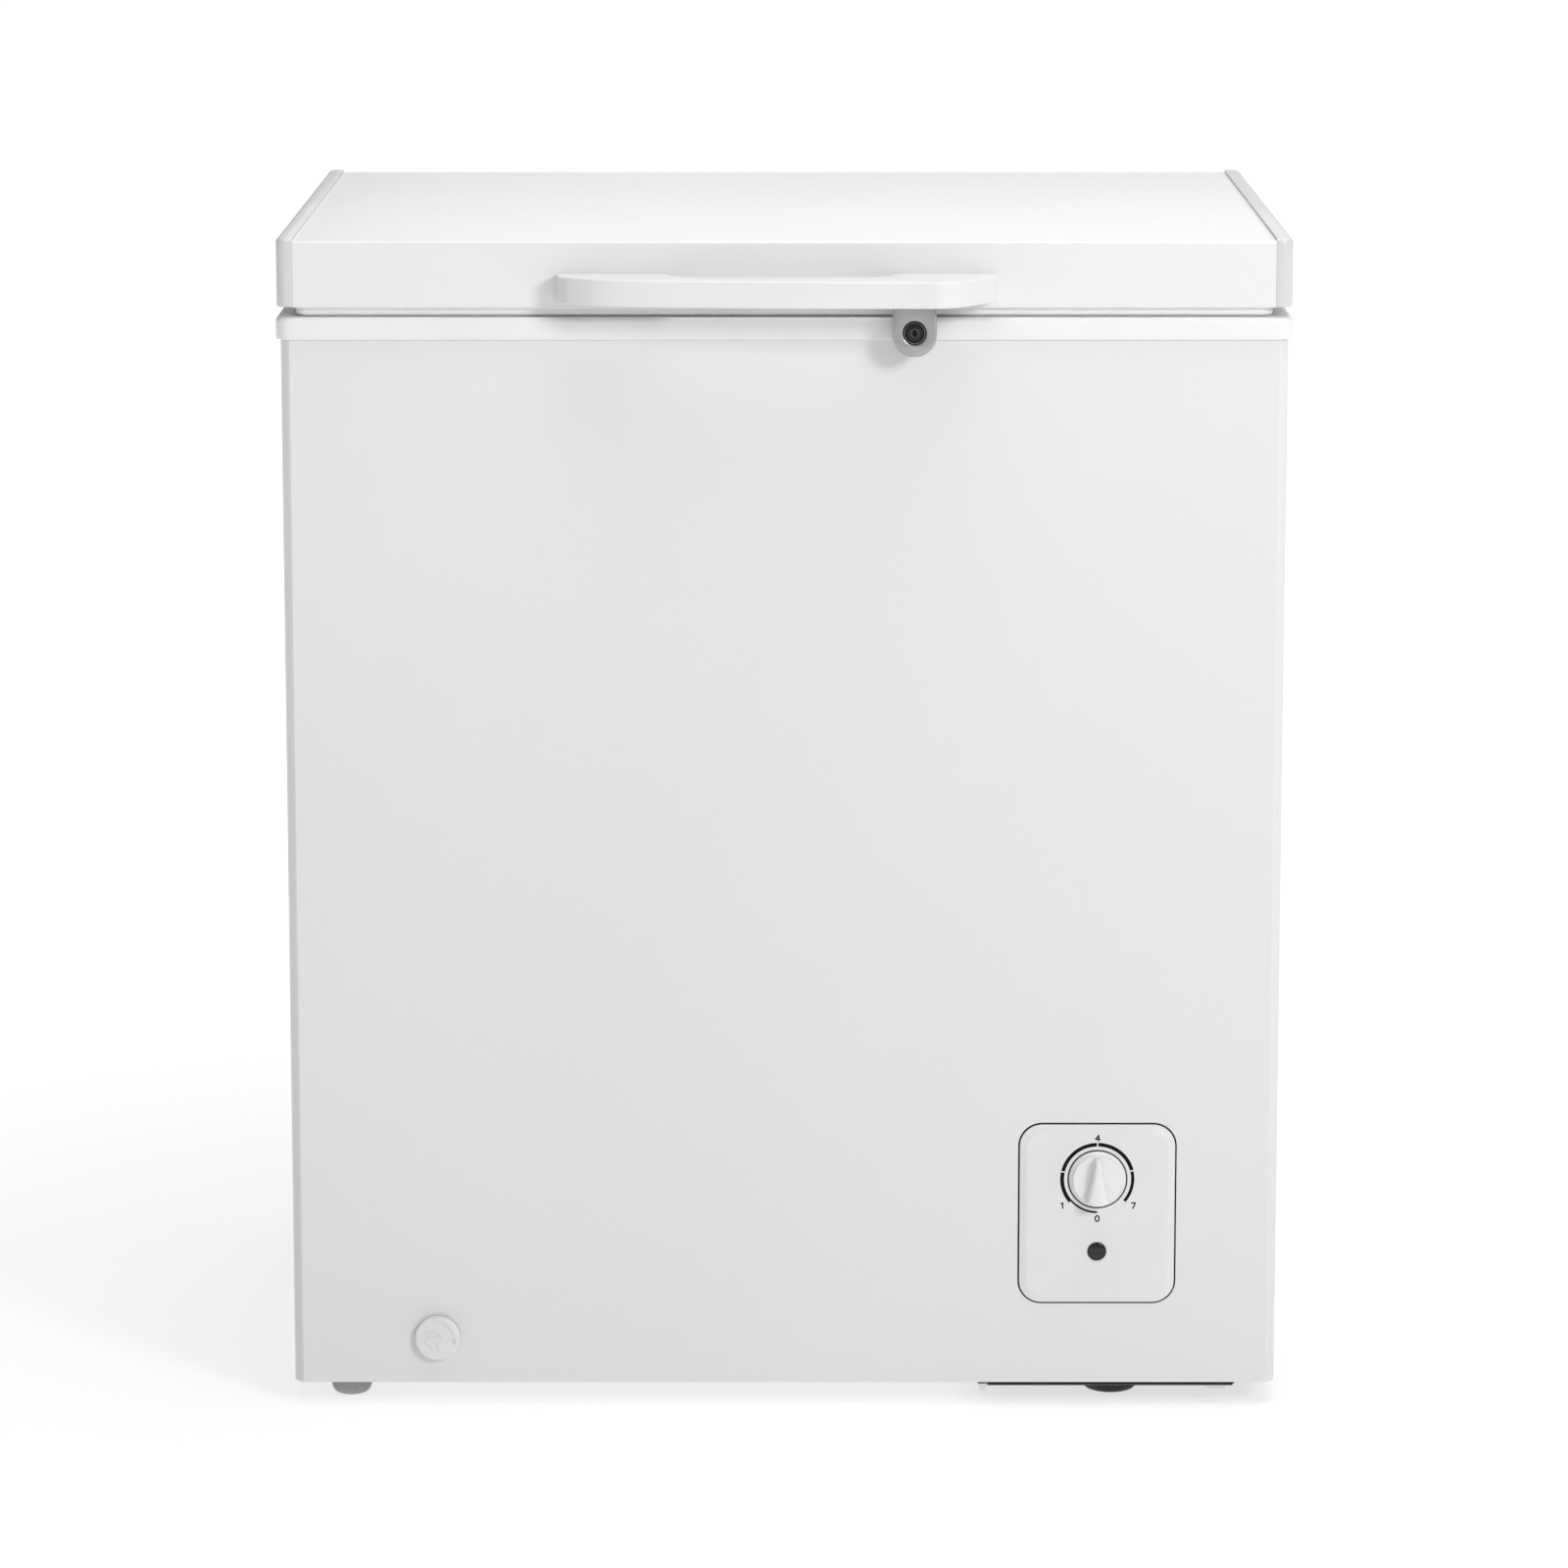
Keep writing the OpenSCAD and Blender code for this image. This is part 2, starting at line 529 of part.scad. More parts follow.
spout_r = 10;
spout_len = 60;
module drain_pipe() color("white") difference() {
    union() {
        rod_y(drain_x, drain_z, cab_front - 0.2, drain_back, 12.5);
        translate([drain_x, drain_back, drain_z - 12.5])
            cylinder(h = liner_floor - 1.3 - drain_z + 12.5, r = 12.5);
    }
    rod_y(drain_x, drain_z, cab_front - 2, cab_front + spout_len + 8, spout_r + run_gap);
    rod_y(drain_x, drain_z, cab_front + 20, drain_back, 8);
    translate([drain_x, drain_back, drain_z]) cylinder(h = 30, r = 8);
}

module drain_spout() color("white") difference() {
    rod_y(drain_x, drain_z, cab_front - 0.6, cab_front + spout_len, spout_r);
    rod_y(drain_x, drain_z, cab_front - 2, cab_front + spout_len + 2, 7);
    translate([drain_x, cab_front + 14, drain_z - 12]) cylinder(h = 12, r = 4);
}

// Round dial with a raised turning arrow; its plug closes the spout
module drain_dial() color("white") {
    rod_y(drain_x, drain_z, cab_front - 6, cab_front - 0.8, 16.3);
    rod_y(drain_x, drain_z, cab_front - 1, cab_front + 9, 7 - run_gap);
    along_y(cab_front - 6.8, cab_front - 5.9) translate([drain_x, drain_z]) {
        polygon(concat(arc([0, 0], 12.6, 100, 10, 8), arc([0, 0], 11, 10, 100, 8)));
        polygon([[8.6, 1.6], [15, 1.6], [11.8, -3.4]]);
        for (z = [2.4, -1.2]) translate([-1.4, z]) square([11, 1.1], center = true);
        for (x = [-5, 0]) translate([x, -5.6]) rotate(28) square([1.1, 5], center = true);
    }
}

// Plug in the liner's floor, over the drain pipe
module floor_drain_plug() color("#d0d0d0") translate([drain_x, drain_back, liner_floor]) {
    translate([0, 0, 0.1]) cylinder(h = 2.4, r = 12.5);
    translate([0, 0, -11]) cylinder(h = 12, r = 8 - run_gap);
    difference() {
        box([-6, -1.5, 2], [6, 1.5, 15]);
        box([-3.2, -3, 4.6], [3.2, 3, 12]);
    }
}

// ---------- feet ----------

module foot(r, h) rotate_extrude()
    polygon(concat([[0, 0]], arc([r - 5.5, 5.5], 5.5, 270, 360, 5), [[r, h], [0, h]]));
module cabinet_feet() color("gray") for (y = [cab_front + 34.3, cab_rear - 34.3])
    translate([-side_x + 39.8, y, 0]) foot(14.8, foot_h);
module base_plate_feet() color("#1c1c1c") for (y = [cab_front + 45.5, cab_rear - 30])
    translate([239.3, y, 0]) foot(21, foot_h - 1.5);

// ---------- hinges ----------

leaf_w = 80;
module per_hinge() for (side = [-1, 1]) translate([side * hinge_x, 0, 0]) children();
module knuckle(x0, x1) rod_x(hinge_y, hinge_z, x0, x1, knuckle_r);

module hinge_cabinet_leaves() color("silver") per_hinge() difference() {
    union() {
        box([-leaf_w / 2, cab_rear - 1, frame_bottom - 90], [leaf_w / 2, cab_rear + 1.5, frame_bottom - 6]);
        box([-leaf_w / 2, cab_rear - 1, frame_bottom - 8.5], [leaf_w / 2, hinge_y + 6.2, frame_bottom - 6]);
        for (x = [-leaf_w / 2, leaf_w / 2 - 10]) {
            box([x, hinge_y + 3.7, frame_bottom - 7], [x + 10, hinge_y + 6.2, hinge_z]);
            knuckle(x, x + 10);
        }
    }
    rod_x(hinge_y, hinge_z, -60, 60, pin_r + run_gap);
    for (dx = [-22, 22]) for (z = cabinet_rows) rod_y(dx, z, cab_rear - 5, cab_rear + 5, 2.2);
}

module hinge_lid_leaves() color("silver") per_hinge() difference() {
    union() {
        box([-29.6, lid_rear, hinge_z + 4], [29.6, lid_rear + 2.5, lid_top - 4]);
        for (x = [-29.6, 20]) {
            box([x, lid_rear, hinge_z + 3.6], [x + 9.6, hinge_y, hinge_z + 6.1]);
            knuckle(x, x + 9.6);
        }
    }
    rod_x(hinge_y, hinge_z, -60, 60, pin_r + run_gap);
    for (dx = [-22, 22]) for (z = lid_rows) rod_y(dx, z, lid_rear - 5, lid_rear + 5, 2.2);
}

module hinge_pins() color("lightgray") per_hinge() {
    rod_x(hinge_y, hinge_z, -leaf_w / 2 - 2, leaf_w / 2 + 2, pin_r);
    for (x = [-leaf_w / 2 - 2.6, leaf_w / 2 + 0.6]) rod_x(hinge_y, hinge_z, x, x + 2, 5);
}

// The torsion spring's closed coils stand as a sleeve round the pin, with a leg on each leaf
spring_r = 6.2;
module hinge_springs() color("dimgray") per_hinge() {
    difference() {
        rod_x(hinge_y, hinge_z, -19, 19, spring_r);
        rod_x(hinge_y, hinge_z, -20, 20, spring_r - 2.4);
    }
    box([-19, hinge_y - 6.1, frame_bottom - 5.8], [-16.8, hinge_y - 3.9, hinge_z]);
    box([16.8, lid_rear + 2.7, hinge_z + 3.9], [19, hinge_y, hinge_z + 6.1]);
}

module cabinet_hinge_screws() color("silver") hinge_screw_spots(cabinet_rows, cab_rear + 1.5)
    screw_y(0, 0, 0, 1, 4.2, 2, 8);
module lid_hinge_screws() color("silver") hinge_screw_spots(lid_rows, lid_rear + 2.5)
    screw_y(0, 0, 0, 1, 4.2, 2, 8);

// ---------- lid ----------

skin_x = lid_w / 2 - cap_w;

module handle_screw_spots() for (x = [-146, -112, 101, 136])
    translate([x, 0, handle_z + handle_h / 2]) children();

module lid_skin() color("whitesmoke") difference() {
    along_x(-skin_x + 0.1, skin_x - 0.1) difference() {
        polygon(concat([[lid_front, lid_bottom], [lid_rear, lid_bottom]],
                       arc([lid_rear - 2.5, lid_top - 2.5], 2.5, 0, 90),
                       arc([lid_front + 2.5, lid_top - 2.5], 2.5, 90, 180)));
        polygon(concat([[lid_front + 1, lid_bottom + 1], [lid_rear - 1, lid_bottom + 1]],
                       arc([lid_rear - 2.5, lid_top - 2.5], 1.5, 0, 90),
                       arc([lid_front + 2.5, lid_top - 2.5], 1.5, 90, 180)));
        translate([lid_front + 11, lid_bottom - 2]) square([lid_d - 22, 5]);
    }
    hinge_screw_spots(lid_rows, lid_rear) rod_y(0, 0, -5, 5, 2.2);
    handle_screw_spots() rod_y(0, 0, lid_front - 5, lid_front + 5, 2.2);
}

function cap_plan(t) = concat([[skin_x, lid_rear - t]], arc([lid_w / 2 - 8, lid_rear - 8], 8 - t, 90, 0),
                              arc([lid_w / 2 - 8, lid_front + 8], 8 - t, 0, -90), [[skin_x, lid_front + t]]);
module end_cap() difference() {
    hull() {
        slab(cap_plan(1), lid_bottom, lid_bottom + 0.4);
        slab(cap_plan(0), lid_bottom + 1.2, cap_top - 3.6);
        slab(cap_plan(1.2), cap_top - 1.4, cap_top - 1);
        slab(cap_plan(3.4), cap_top - 0.4, cap_top);
    }
    box([skin_x - 1, lid_front + 2.5, lid_bottom + 2.5], [lid_w / 2 - 2.5, lid_rear - 2.5, cap_top - 3]);
}
module lid_end_cap_right() color("#e4e4e4") end_cap();
module lid_end_cap_left() color("#e4e4e4") mirror([1, 0, 0]) end_cap();

module lid_foam() color("khaki") difference() {
    union() {
        box([-skin_x + 0.6, lid_front + 1.3, lid_bottom + 3.5], [skin_x - 0.6, lid_rear - 1.3, lid_top - 1.3]);
        slab(rrect(plug_w - 4.6, plug_d - 4.6, 18, [0, cab_mid]), frame_top - 1.7, lid_bottom + 5);
    }
    for (y = [lid_front, lid_rear])
        along_x(-skin_x, skin_x) translate([y, lid_top]) rotate(45) square(4.6, center = true);
    hinge_screw_spots(lid_rows, lid_rear) rod_y(0, 0, -8, 5, 2.3);
    handle_screw_spots() rod_y(0, 0, lid_front - 5, lid_front + 4, 5);
}

module lid_inner_panel() color("white") difference() {
    union() {
        box([-skin_x + 0.6, lid_front + 1.3, lid_bottom + 1.2],
            [skin_x - 0.6, lid_rear - 1.3, lid_bottom + 3.2]);
        slab(rrect(plug_w, plug_d, 20, [0, cab_mid]), frame_top - 4, lid_bottom + 3);
    }
    slab(rrect(plug_w - 4, plug_d - 4, 18, [0, cab_mid]), frame_top - 2, lid_bottom + 5);
}

// The seal is wider at the front and rear than at the sides
module gasket_layer(inset, w, z0, z1)
    ring(rrect(gasket_w - 2 * inset, gasket_d - 2 * inset, 8, [0, cab_mid]),
         rrect(gasket_w - 2 * inset - 2 * w, gasket_d - 2 * inset - 2 * (w + 8), 4, [0, cab_mid]), z0, z1);
module lid_gasket() color("#ececec") {
    gasket_layer(0, 14, lid_bottom - 1.4, lid_bottom - 0.05);
    // the part behind the sheet's turned-in edges reaches up to the inner panel
    ring(rrect(gasket_w, gasket_d - 16, 8, [0, cab_mid]), rrect(gasket_w - 28, gasket_d - 44, 4, [0, cab_mid]),
         lid_bottom - 1, lid_bottom + 1.2);
    gasket_layer(3, 8, lid_bottom - 3.4, lid_bottom - 1.2);
    gasket_layer(1, 12, frame_top + 0.3, lid_bottom - 3.2);
}

// ---------- handle and lock ----------

// Plan of the grip, with the finger gap behind its middle; t sets it in
function to_lid(points) = [for (p = points) [p[0], lid_front - p[1]]];
function handle_outer(t) = smooth([for (p = handle_front)
    [max(handle_left + t, min(handle_right - t, p[0])), p[1] - t]], 4);
function handle_gap(t) = concat(arc([88 + t, 13], 13 + t, 270, 180, 4), arc([60, 11], 15 + t, 0, 90, 4),
                                arc([-65, 11], 15 + t, 90, 180, 4), arc([-93 - t, 13], 13 + t, 0, -90, 4));

module handle_plan(t) difference() {
    polygon(to_lid(concat([[handle_left + t, t]], handle_outer(t), [[handle_right - t, t]])));
    polygon(to_lid(concat([[101 + t, -5]], handle_gap(t), [[-106 - t, -5]])));
}

module lid_handle() color("white") difference() {
    translate([0, 0, handle_z]) linear_extrude(handle_h) handle_plan(0);
    difference() {
        translate([0, 0, handle_z - 1]) linear_extrude(handle_h - handle_wall + 1) handle_plan(handle_wall);
        handle_screw_spots() rod_y(0, 0, lid_front - 14, lid_front, 5);
    }
    handle_screw_spots() rod_y(0, 0, lid_front - 12, lid_front + 1, 1.9);
}
module handle_screws() color("silver") handle_screw_spots() screw_y(0, lid_front + 1, 0, 1, 4, 1.8, 12);

tongue_top = handle_z + handle_h - handle_wall;
function tab_outline(t) = concat([[lock_x - tab_r + t, tongue_top]],
                                 arc([lock_x, tab_z], tab_r - t, 180, 360, 16),
                                 [[lock_x + tab_r - t, tongue_top]]);
module lock_housing() color("darkgray") difference() {
    union() {
        along_y(lid_front - tab_front + 1, lid_front - tab_back) polygon(tab_outline(0));
        along_y(lid_front - tab_front, lid_front - tab_front + 1.1) polygon(tab_outline(1));
    }
    // the tongue inside the handle is narrower than the tab
    for (s = [-1, 1]) translate([lock_x + s * 14.5, 0, 0])
        box([-2, lid_front - tab_front - 1, handle_z], [2, lid_front, lid_top]);
    rod_y(lock_x, lock_z, lid_front - tab_front - 2, lid_front, barrel_r + run_gap);
}

module lock_barrel() color("#2b2b2d") difference() {
    rod_y(lock_x, lock_z, lid_front - tab_front - 0.6, lid_front - cam_out - cam_t, barrel_r);
    difference() {
        rod_y(lock_x, lock_z, lid_front - tab_front - 2, lid_front - tab_front + 1.4, 5.5);
        rod_y(lock_x, lock_z, lid_front - tab_front - 0.2, lid_front, 3);
    }
    translate([lock_x, lid_front - tab_front + 2, lock_z]) cube([1.4, 8, 4.4], center = true);
    rod_y(lock_x, lock_z, lid_front - cam_out - cam_t - 6, lid_front, 2);
}

// Lever on the back of the barrel, with its screw; it points down when the lock is open
module lock_cam() color("silver") {
    along_y(lid_front - cam_out - cam_t, lid_front - cam_out) difference() {
        union() {
            translate([lock_x, lock_z]) circle(r = 4.4);
            translate([lock_x - 3, lock_z - 13.5]) square([6, 13.5]);
        }
        translate([lock_x, lock_z]) circle(r = 1.8);
    }
    rod_y(lock_x, lock_z, lid_front - cam_out - 0.2, lid_front - cam_out + 2.2, 4);
    rod_y(lock_x, lock_z, lid_front - cam_out - cam_t - 5.8, lid_front - cam_out, 1.8);
}

// Catch on the top frame: the cam turns in under its ledge
module lock_strike() color("silver") {
    difference() {
        union() {
            box([lock_x - 13, lid_front - 2.4, frame_top - 14], [lock_x + 14, lid_front - 1, frame_top - 4]);
            box([lock_x + 8.6, lid_front - 12, lock_z + 4.4], [lock_x + 14, lid_front - 1.2, lock_z + 6.6]);
        }
        for (dx = [-10.5, 10.5]) rod_y(lock_x + dx, frame_top - 11, lid_front - 5, lid_front, 1.1);
    }
    for (dx = [-10.5, 10.5]) {
        rod_y(lock_x + dx, frame_top - 11, lid_front - 3.6, lid_front - 2.3, 2);
        rod_y(lock_x + dx, frame_top - 11, lid_front - 2.6, lid_front + 1, 1);
    }
}

// ---------- basket ----------

basket_half = basket_w / 2;
rim_z = ledge_z + 0.3;
wire_z = rim_z + rod / 2;
basket_floor = rim_z - basket_h;
cross_wires = 9;
long_wires = 3;

// One wire bent like a hat: lips at the top, legs at +-half, and a floor run
module hat_wire(half, lip, top, low, t) polygon([
    [-lip, top + t], [-half + t, top + t], [-half + t, low + t], [half - t, low + t], [half - t, top + t],
    [lip, top + t], [lip, top - t], [half + t, top - t], [half + t, low - t], [-half - t, low - t],
    [-half - t, top - t], [-lip, top - t]]);
function rect(x, y) = [[-x, -y], [x, -y], [x, y], [-x, y]];

module basket_wires() color("white") translate([basket_x, cab_mid, 0]) {
    ring(rect(basket_half + rod / 2, basket_rail_y + rod / 2),
         rect(basket_half - rod / 2, basket_rail_y - rod / 2), rim_z, rim_z + rod);
    for (i = [0:long_wires + 1]) let (x = -basket_half + i * basket_w / (long_wires + 1), t = wire_d / 2)
        along_x(x - t, x + t) hat_wire(basket_y, basket_rail_y - 1, wire_z, basket_floor, t);
    for (i = [1:cross_wires]) let (y = -basket_y + i * 2 * basket_y / (cross_wires + 1), t = wire_d / 2)
        along_y(y - t, y + t) difference() {
            translate([-basket_half - 0.8, basket_floor + 0.7]) square([basket_w + 1.6, wire_z + 0.4 - basket_floor]);
            translate([-basket_half + 2.2, basket_floor + 3.7]) square([basket_w - 4.4, basket_h + 20]);
        }
    for (z = [basket_floor + basket_h * 0.36, basket_floor + basket_h * 0.68])
        ring(rect(basket_half + 1.2, basket_y + 1.2), rect(basket_half - 1.2, basket_y - 1.2), z, z + 2.6);
}

module basket_grips() color("#d8d8d8") translate([basket_x, cab_mid, 0])
    for (u = [-1, 1]) for (s = [-1, 1]) translate([u * basket_half, s * basket_y * 0.45, rim_z]) difference() {
        box([-4.2, -30, 0.6], [4.2, 30, rod + 1.2]);
        box([-rod / 2 - 0.05, -32, -1], [rod / 2 + 0.05, 32, rod + 0.05]);
    }

// ---------- one node at a time ----------

cabinet_wrap();
rear_panel();
bottom_panel();
foam_insulation();
inner_liner();
top_frame();
evaporator_coil();
condenser_coil();
compressor_base_plate();
compressor_shell();
compressor_pump_unit();
compressor_grommets();
compressor_bolts();
compressor_terminal_box();
suction_pipe();
discharge_pipe();
filter_drier();
capillary_tube();
wiring_harness();
mains_cord_gland();
rear_grille();
rear_grille_screws();
side_grille();
control_panel();
thermostat_body();
thermostat_capillary();
indicator_lens();
indicator_lamp();
thermostat_knob();
thermostat_shaft();
drain_pipe();
drain_spout();
drain_dial();
floor_drain_plug();
cabinet_feet();
base_plate_feet();
lock_strike();
hinge_cabinet_leaves();
hinge_pins();
hinge_springs();
cabinet_hinge_screws();
hinge_lid_leaves();
lid_hinge_screws();
lid_skin();
lid_end_cap_left();
lid_end_cap_right();
lid_foam();
lid_inner_panel();
lid_gasket();
lid_handle();
handle_screws();
lock_housing();
lock_barrel();
lock_cam();
basket_wires();
basket_grips();
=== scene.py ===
import math
import bpy
import bmesh
from mathutils import Matrix, Vector


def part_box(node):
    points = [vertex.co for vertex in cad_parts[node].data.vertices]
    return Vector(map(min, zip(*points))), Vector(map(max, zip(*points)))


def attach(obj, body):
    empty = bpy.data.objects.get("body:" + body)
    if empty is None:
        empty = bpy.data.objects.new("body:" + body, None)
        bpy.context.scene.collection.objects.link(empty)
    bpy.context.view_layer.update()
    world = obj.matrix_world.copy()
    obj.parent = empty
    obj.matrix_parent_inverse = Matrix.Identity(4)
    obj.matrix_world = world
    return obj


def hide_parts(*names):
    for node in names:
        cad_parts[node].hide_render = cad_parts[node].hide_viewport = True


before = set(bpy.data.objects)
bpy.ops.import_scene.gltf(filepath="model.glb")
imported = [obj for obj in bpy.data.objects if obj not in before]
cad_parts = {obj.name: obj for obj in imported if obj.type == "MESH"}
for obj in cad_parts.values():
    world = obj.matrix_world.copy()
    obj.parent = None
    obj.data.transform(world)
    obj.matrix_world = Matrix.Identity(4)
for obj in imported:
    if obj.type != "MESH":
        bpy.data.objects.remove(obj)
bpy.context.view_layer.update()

MM = 0.001
SCENE = bpy.context.scene
cos, sin, pi, rad = math.cos, math.sin, math.pi, math.radians

# ---- places, from the CAD nodes, in millimetres


def mm(node):
    """A CAD node's box: its low corner and its high corner."""
    lo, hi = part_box(node)
    return [c / MM for c in lo], [c / MM for c in hi]


def middle(lo, hi):
    return [(a + b) / 2 for a, b in zip(lo, hi)]


WRAP_LO, WRAP_HI = mm("cabinet_wrap")
FRAME_LO, FRAME_HI = mm("top_frame")
SKIN_LO, SKIN_HI = mm("lid_skin")
CAP_LO, CAP_HI = mm("lid_end_cap_right")
PANEL_LO, PANEL_HI = mm("control_panel")
KNOB_LO, KNOB_HI = mm("thermostat_knob")
DIAL_LO, DIAL_HI = mm("drain_dial")
HANDLE_LO, HANDLE_HI = mm("lid_handle")
TAB_LO, TAB_HI = mm("lock_housing")
BARREL_LO, BARREL_HI = mm("lock_barrel")
PIN_LO, PIN_HI = mm("hinge_pins")

SIDE = WRAP_HI[0]
CAB_F, CAB_R = WRAP_LO[1], WRAP_HI[1]
MID = (CAB_F + CAB_R) / 2
LID_F, LID_R = CAP_LO[1], CAP_HI[1]
LID_B, LID_T = SKIN_LO[2], SKIN_HI[2]
TOP = FRAME_HI[2]
KX, _, KZ = middle(KNOB_LO, KNOB_HI)
PX, _, PZ = middle(PANEL_LO, PANEL_HI)
DX, _, DZ = middle(DIAL_LO, DIAL_HI)
LX, _, LZ = middle(BARREL_LO, BARREL_HI)
_, HINGE_Y, HINGE_Z = middle(PIN_LO, PIN_HI)
HINGE_X = PIN_HI[0] - 42.6

# ---- materials


class Graph:
    """A Principled material and the few texture nodes that its looks are built from."""

    def __init__(self, name):
        self.mat = bpy.data.materials.new(name)
        self.mat.use_nodes = True
        self.nodes = self.mat.node_tree.nodes
        self.wire = self.mat.node_tree.links.new
        self.shader = self.nodes["Principled BSDF"]
        self.coord = self.nodes.new("ShaderNodeTexCoord").outputs["Object"]

    def fill(self, node, **values):
        for key, value in values.items():
            node.inputs[key.replace("_", " ")].default_value = value
        return node

    def node(self, kind, **values):
        return self.fill(self.nodes.new("ShaderNode" + kind), **values)

    def set(self, **values):
        self.fill(self.shader, **values)
        return self

    def noise(self, scale, detail=3.0, rough=0.5, stretch=None):
        n = self.node("TexNoise", Scale=scale, Detail=detail, Roughness=rough)
        self.feed(n, stretch)
        return n.outputs["Fac"]

    def voronoi(self, scale, feature="F1", out="Distance"):
        n = self.node("TexVoronoi", Scale=scale)
        n.feature = feature
        self.feed(n)
        return n.outputs[out]

    def feed(self, node, stretch=None):
        if stretch:
            m = self.node("Mapping", Scale=stretch)
            self.wire(self.coord, m.inputs["Vector"])
            self.wire(m.outputs["Vector"], node.inputs["Vector"])
        else:
            self.wire(self.coord, node.inputs["Vector"])

    def ramp(self, fac, stops):
        r = self.nodes.new("ShaderNodeValToRGB")
        el = r.color_ramp.elements
        while len(el) < len(stops):
            el.new(0.5)
        for e, (pos, col) in zip(el, stops):
            e.position = pos
            e.color = (*col, 1.0) if len(col) == 3 else col
        self.wire(fac, r.inputs["Fac"])
        return r.outputs["Color"]

    def span(self, fac, lo, hi, a, b):
        n = self.node("MapRange", From_Min=lo, From_Max=hi, To_Min=a, To_Max=b)
        self.wire(fac, n.inputs["Value"])
        return n.outputs["Result"]

    def to(self, out, socket):
        self.wire(out, self.shader.inputs[socket])
        return self

    def bump(self, height, distance, strength=1.0, under=None):
        b = self.node("Bump", Distance=distance, Strength=strength)
        self.wire(height, b.inputs["Height"])
        if under is not None:
            self.wire(under, b.inputs["Normal"])
        self.wire(b.outputs["Normal"], self.shader.inputs["Normal"])
        return b.outputs["Normal"]


def tint(c, k):
    return tuple(min(1.0, v * k) for v in c)


def coated(name, colour, rough, wave=0.00006, peel=0.000012, coat=0.0):
    """Coated or enamelled sheet: faint tone change, orange peel, and a long shallow wave."""
    g = Graph(name).set(Coat_Weight=coat, Coat_Roughness=0.12, Specular_IOR_Level=0.5)
    g.to(g.ramp(g.noise(3.0, 4), [(0.3, tint(colour, 0.985)), (0.7, tint(colour, 1.01))]), "Base Color")
    g.to(g.span(g.noise(60, 3), 0.3, 0.7, rough - 0.035, rough + 0.035), "Roughness")
    first = g.bump(g.noise(2.2, 1), wave * 8, 0.5)
    g.bump(g.noise(420, 2), peel, 0.8, first)
    return g.mat


def moulded(name, colour, rough, grain=900, depth=0.00002, coat=0.0, specular=0.45):
    g = Graph(name).set(Coat_Weight=coat, Specular_IOR_Level=specular)
    g.to(g.ramp(g.noise(9, 4), [(0.3, tint(colour, 0.96)), (0.7, tint(colour, 1.03))]), "Base Color")
    g.to(g.span(g.noise(90, 3), 0.3, 0.7, rough - 0.05, rough + 0.06), "Roughness")
    g.bump(g.noise(grain, 3), depth, 0.7)
    return g.mat


def zinc(name, colour, rough, spangle=90):
    """Galvanised sheet: spangle cells that differ a little in tone and gloss."""
    g = Graph(name).set(Metallic=0.92)
    cell = g.voronoi(spangle, out="Color")
    tone = g.node("SeparateColor")
    g.wire(cell, tone.inputs["Color"])
    g.to(g.ramp(tone.outputs["Red"], [(0.0, tint(colour, 0.93)), (1.0, tint(colour, 1.05))]), "Base Color")
    g.to(g.span(tone.outputs["Green"], 0, 1, rough - 0.07, rough + 0.09), "Roughness")
    g.bump(g.noise(260, 3), 0.00003, 0.6)
    return g.mat


def metal(name, colour, rough, stretch=(1, 1, 30), scale=60, tarnish=0.85, bump=0.00001):
    g = Graph(name).set(Metallic=1.0)
    g.to(g.ramp(g.noise(25, 4), [(0.35, tint(colour, tarnish)), (0.7, colour)]), "Base Color")
    g.to(g.span(g.noise(scale, 4, stretch=stretch), 0.3, 0.7, rough - 0.06, rough + 0.08), "Roughness")
    g.bump(g.noise(scale * 8, 3, stretch=stretch), bump, 0.6)
    return g.mat


def foam_mat(name):
    g = Graph(name).set(Roughness=0.92, Specular_IOR_Level=0.2)
    g.to(g.ramp(g.noise(40, 5), [(0.3, (0.72, 0.58, 0.30)), (0.7, (0.86, 0.75, 0.46))]), "Base Color")
    g.bump(g.voronoi(700), 0.0004, 0.8)
    return g.mat


def stucco(name):
    """Embossed aluminium liner: raised pebbles about 4 mm across."""
    g = Graph(name).set(Metallic=0.55, Specular_IOR_Level=0.5)
    g.to(g.ramp(g.noise(5, 3), [(0.3, (0.78, 0.79, 0.80)), (0.7, (0.84, 0.85, 0.86))]), "Base Color")
    g.to(g.span(g.noise(120, 2), 0.3, 0.7, 0.32, 0.42), "Roughness")
    g.bump(g.voronoi(260, feature="SMOOTH_F1"), 0.0006, 0.55)
    return g.mat


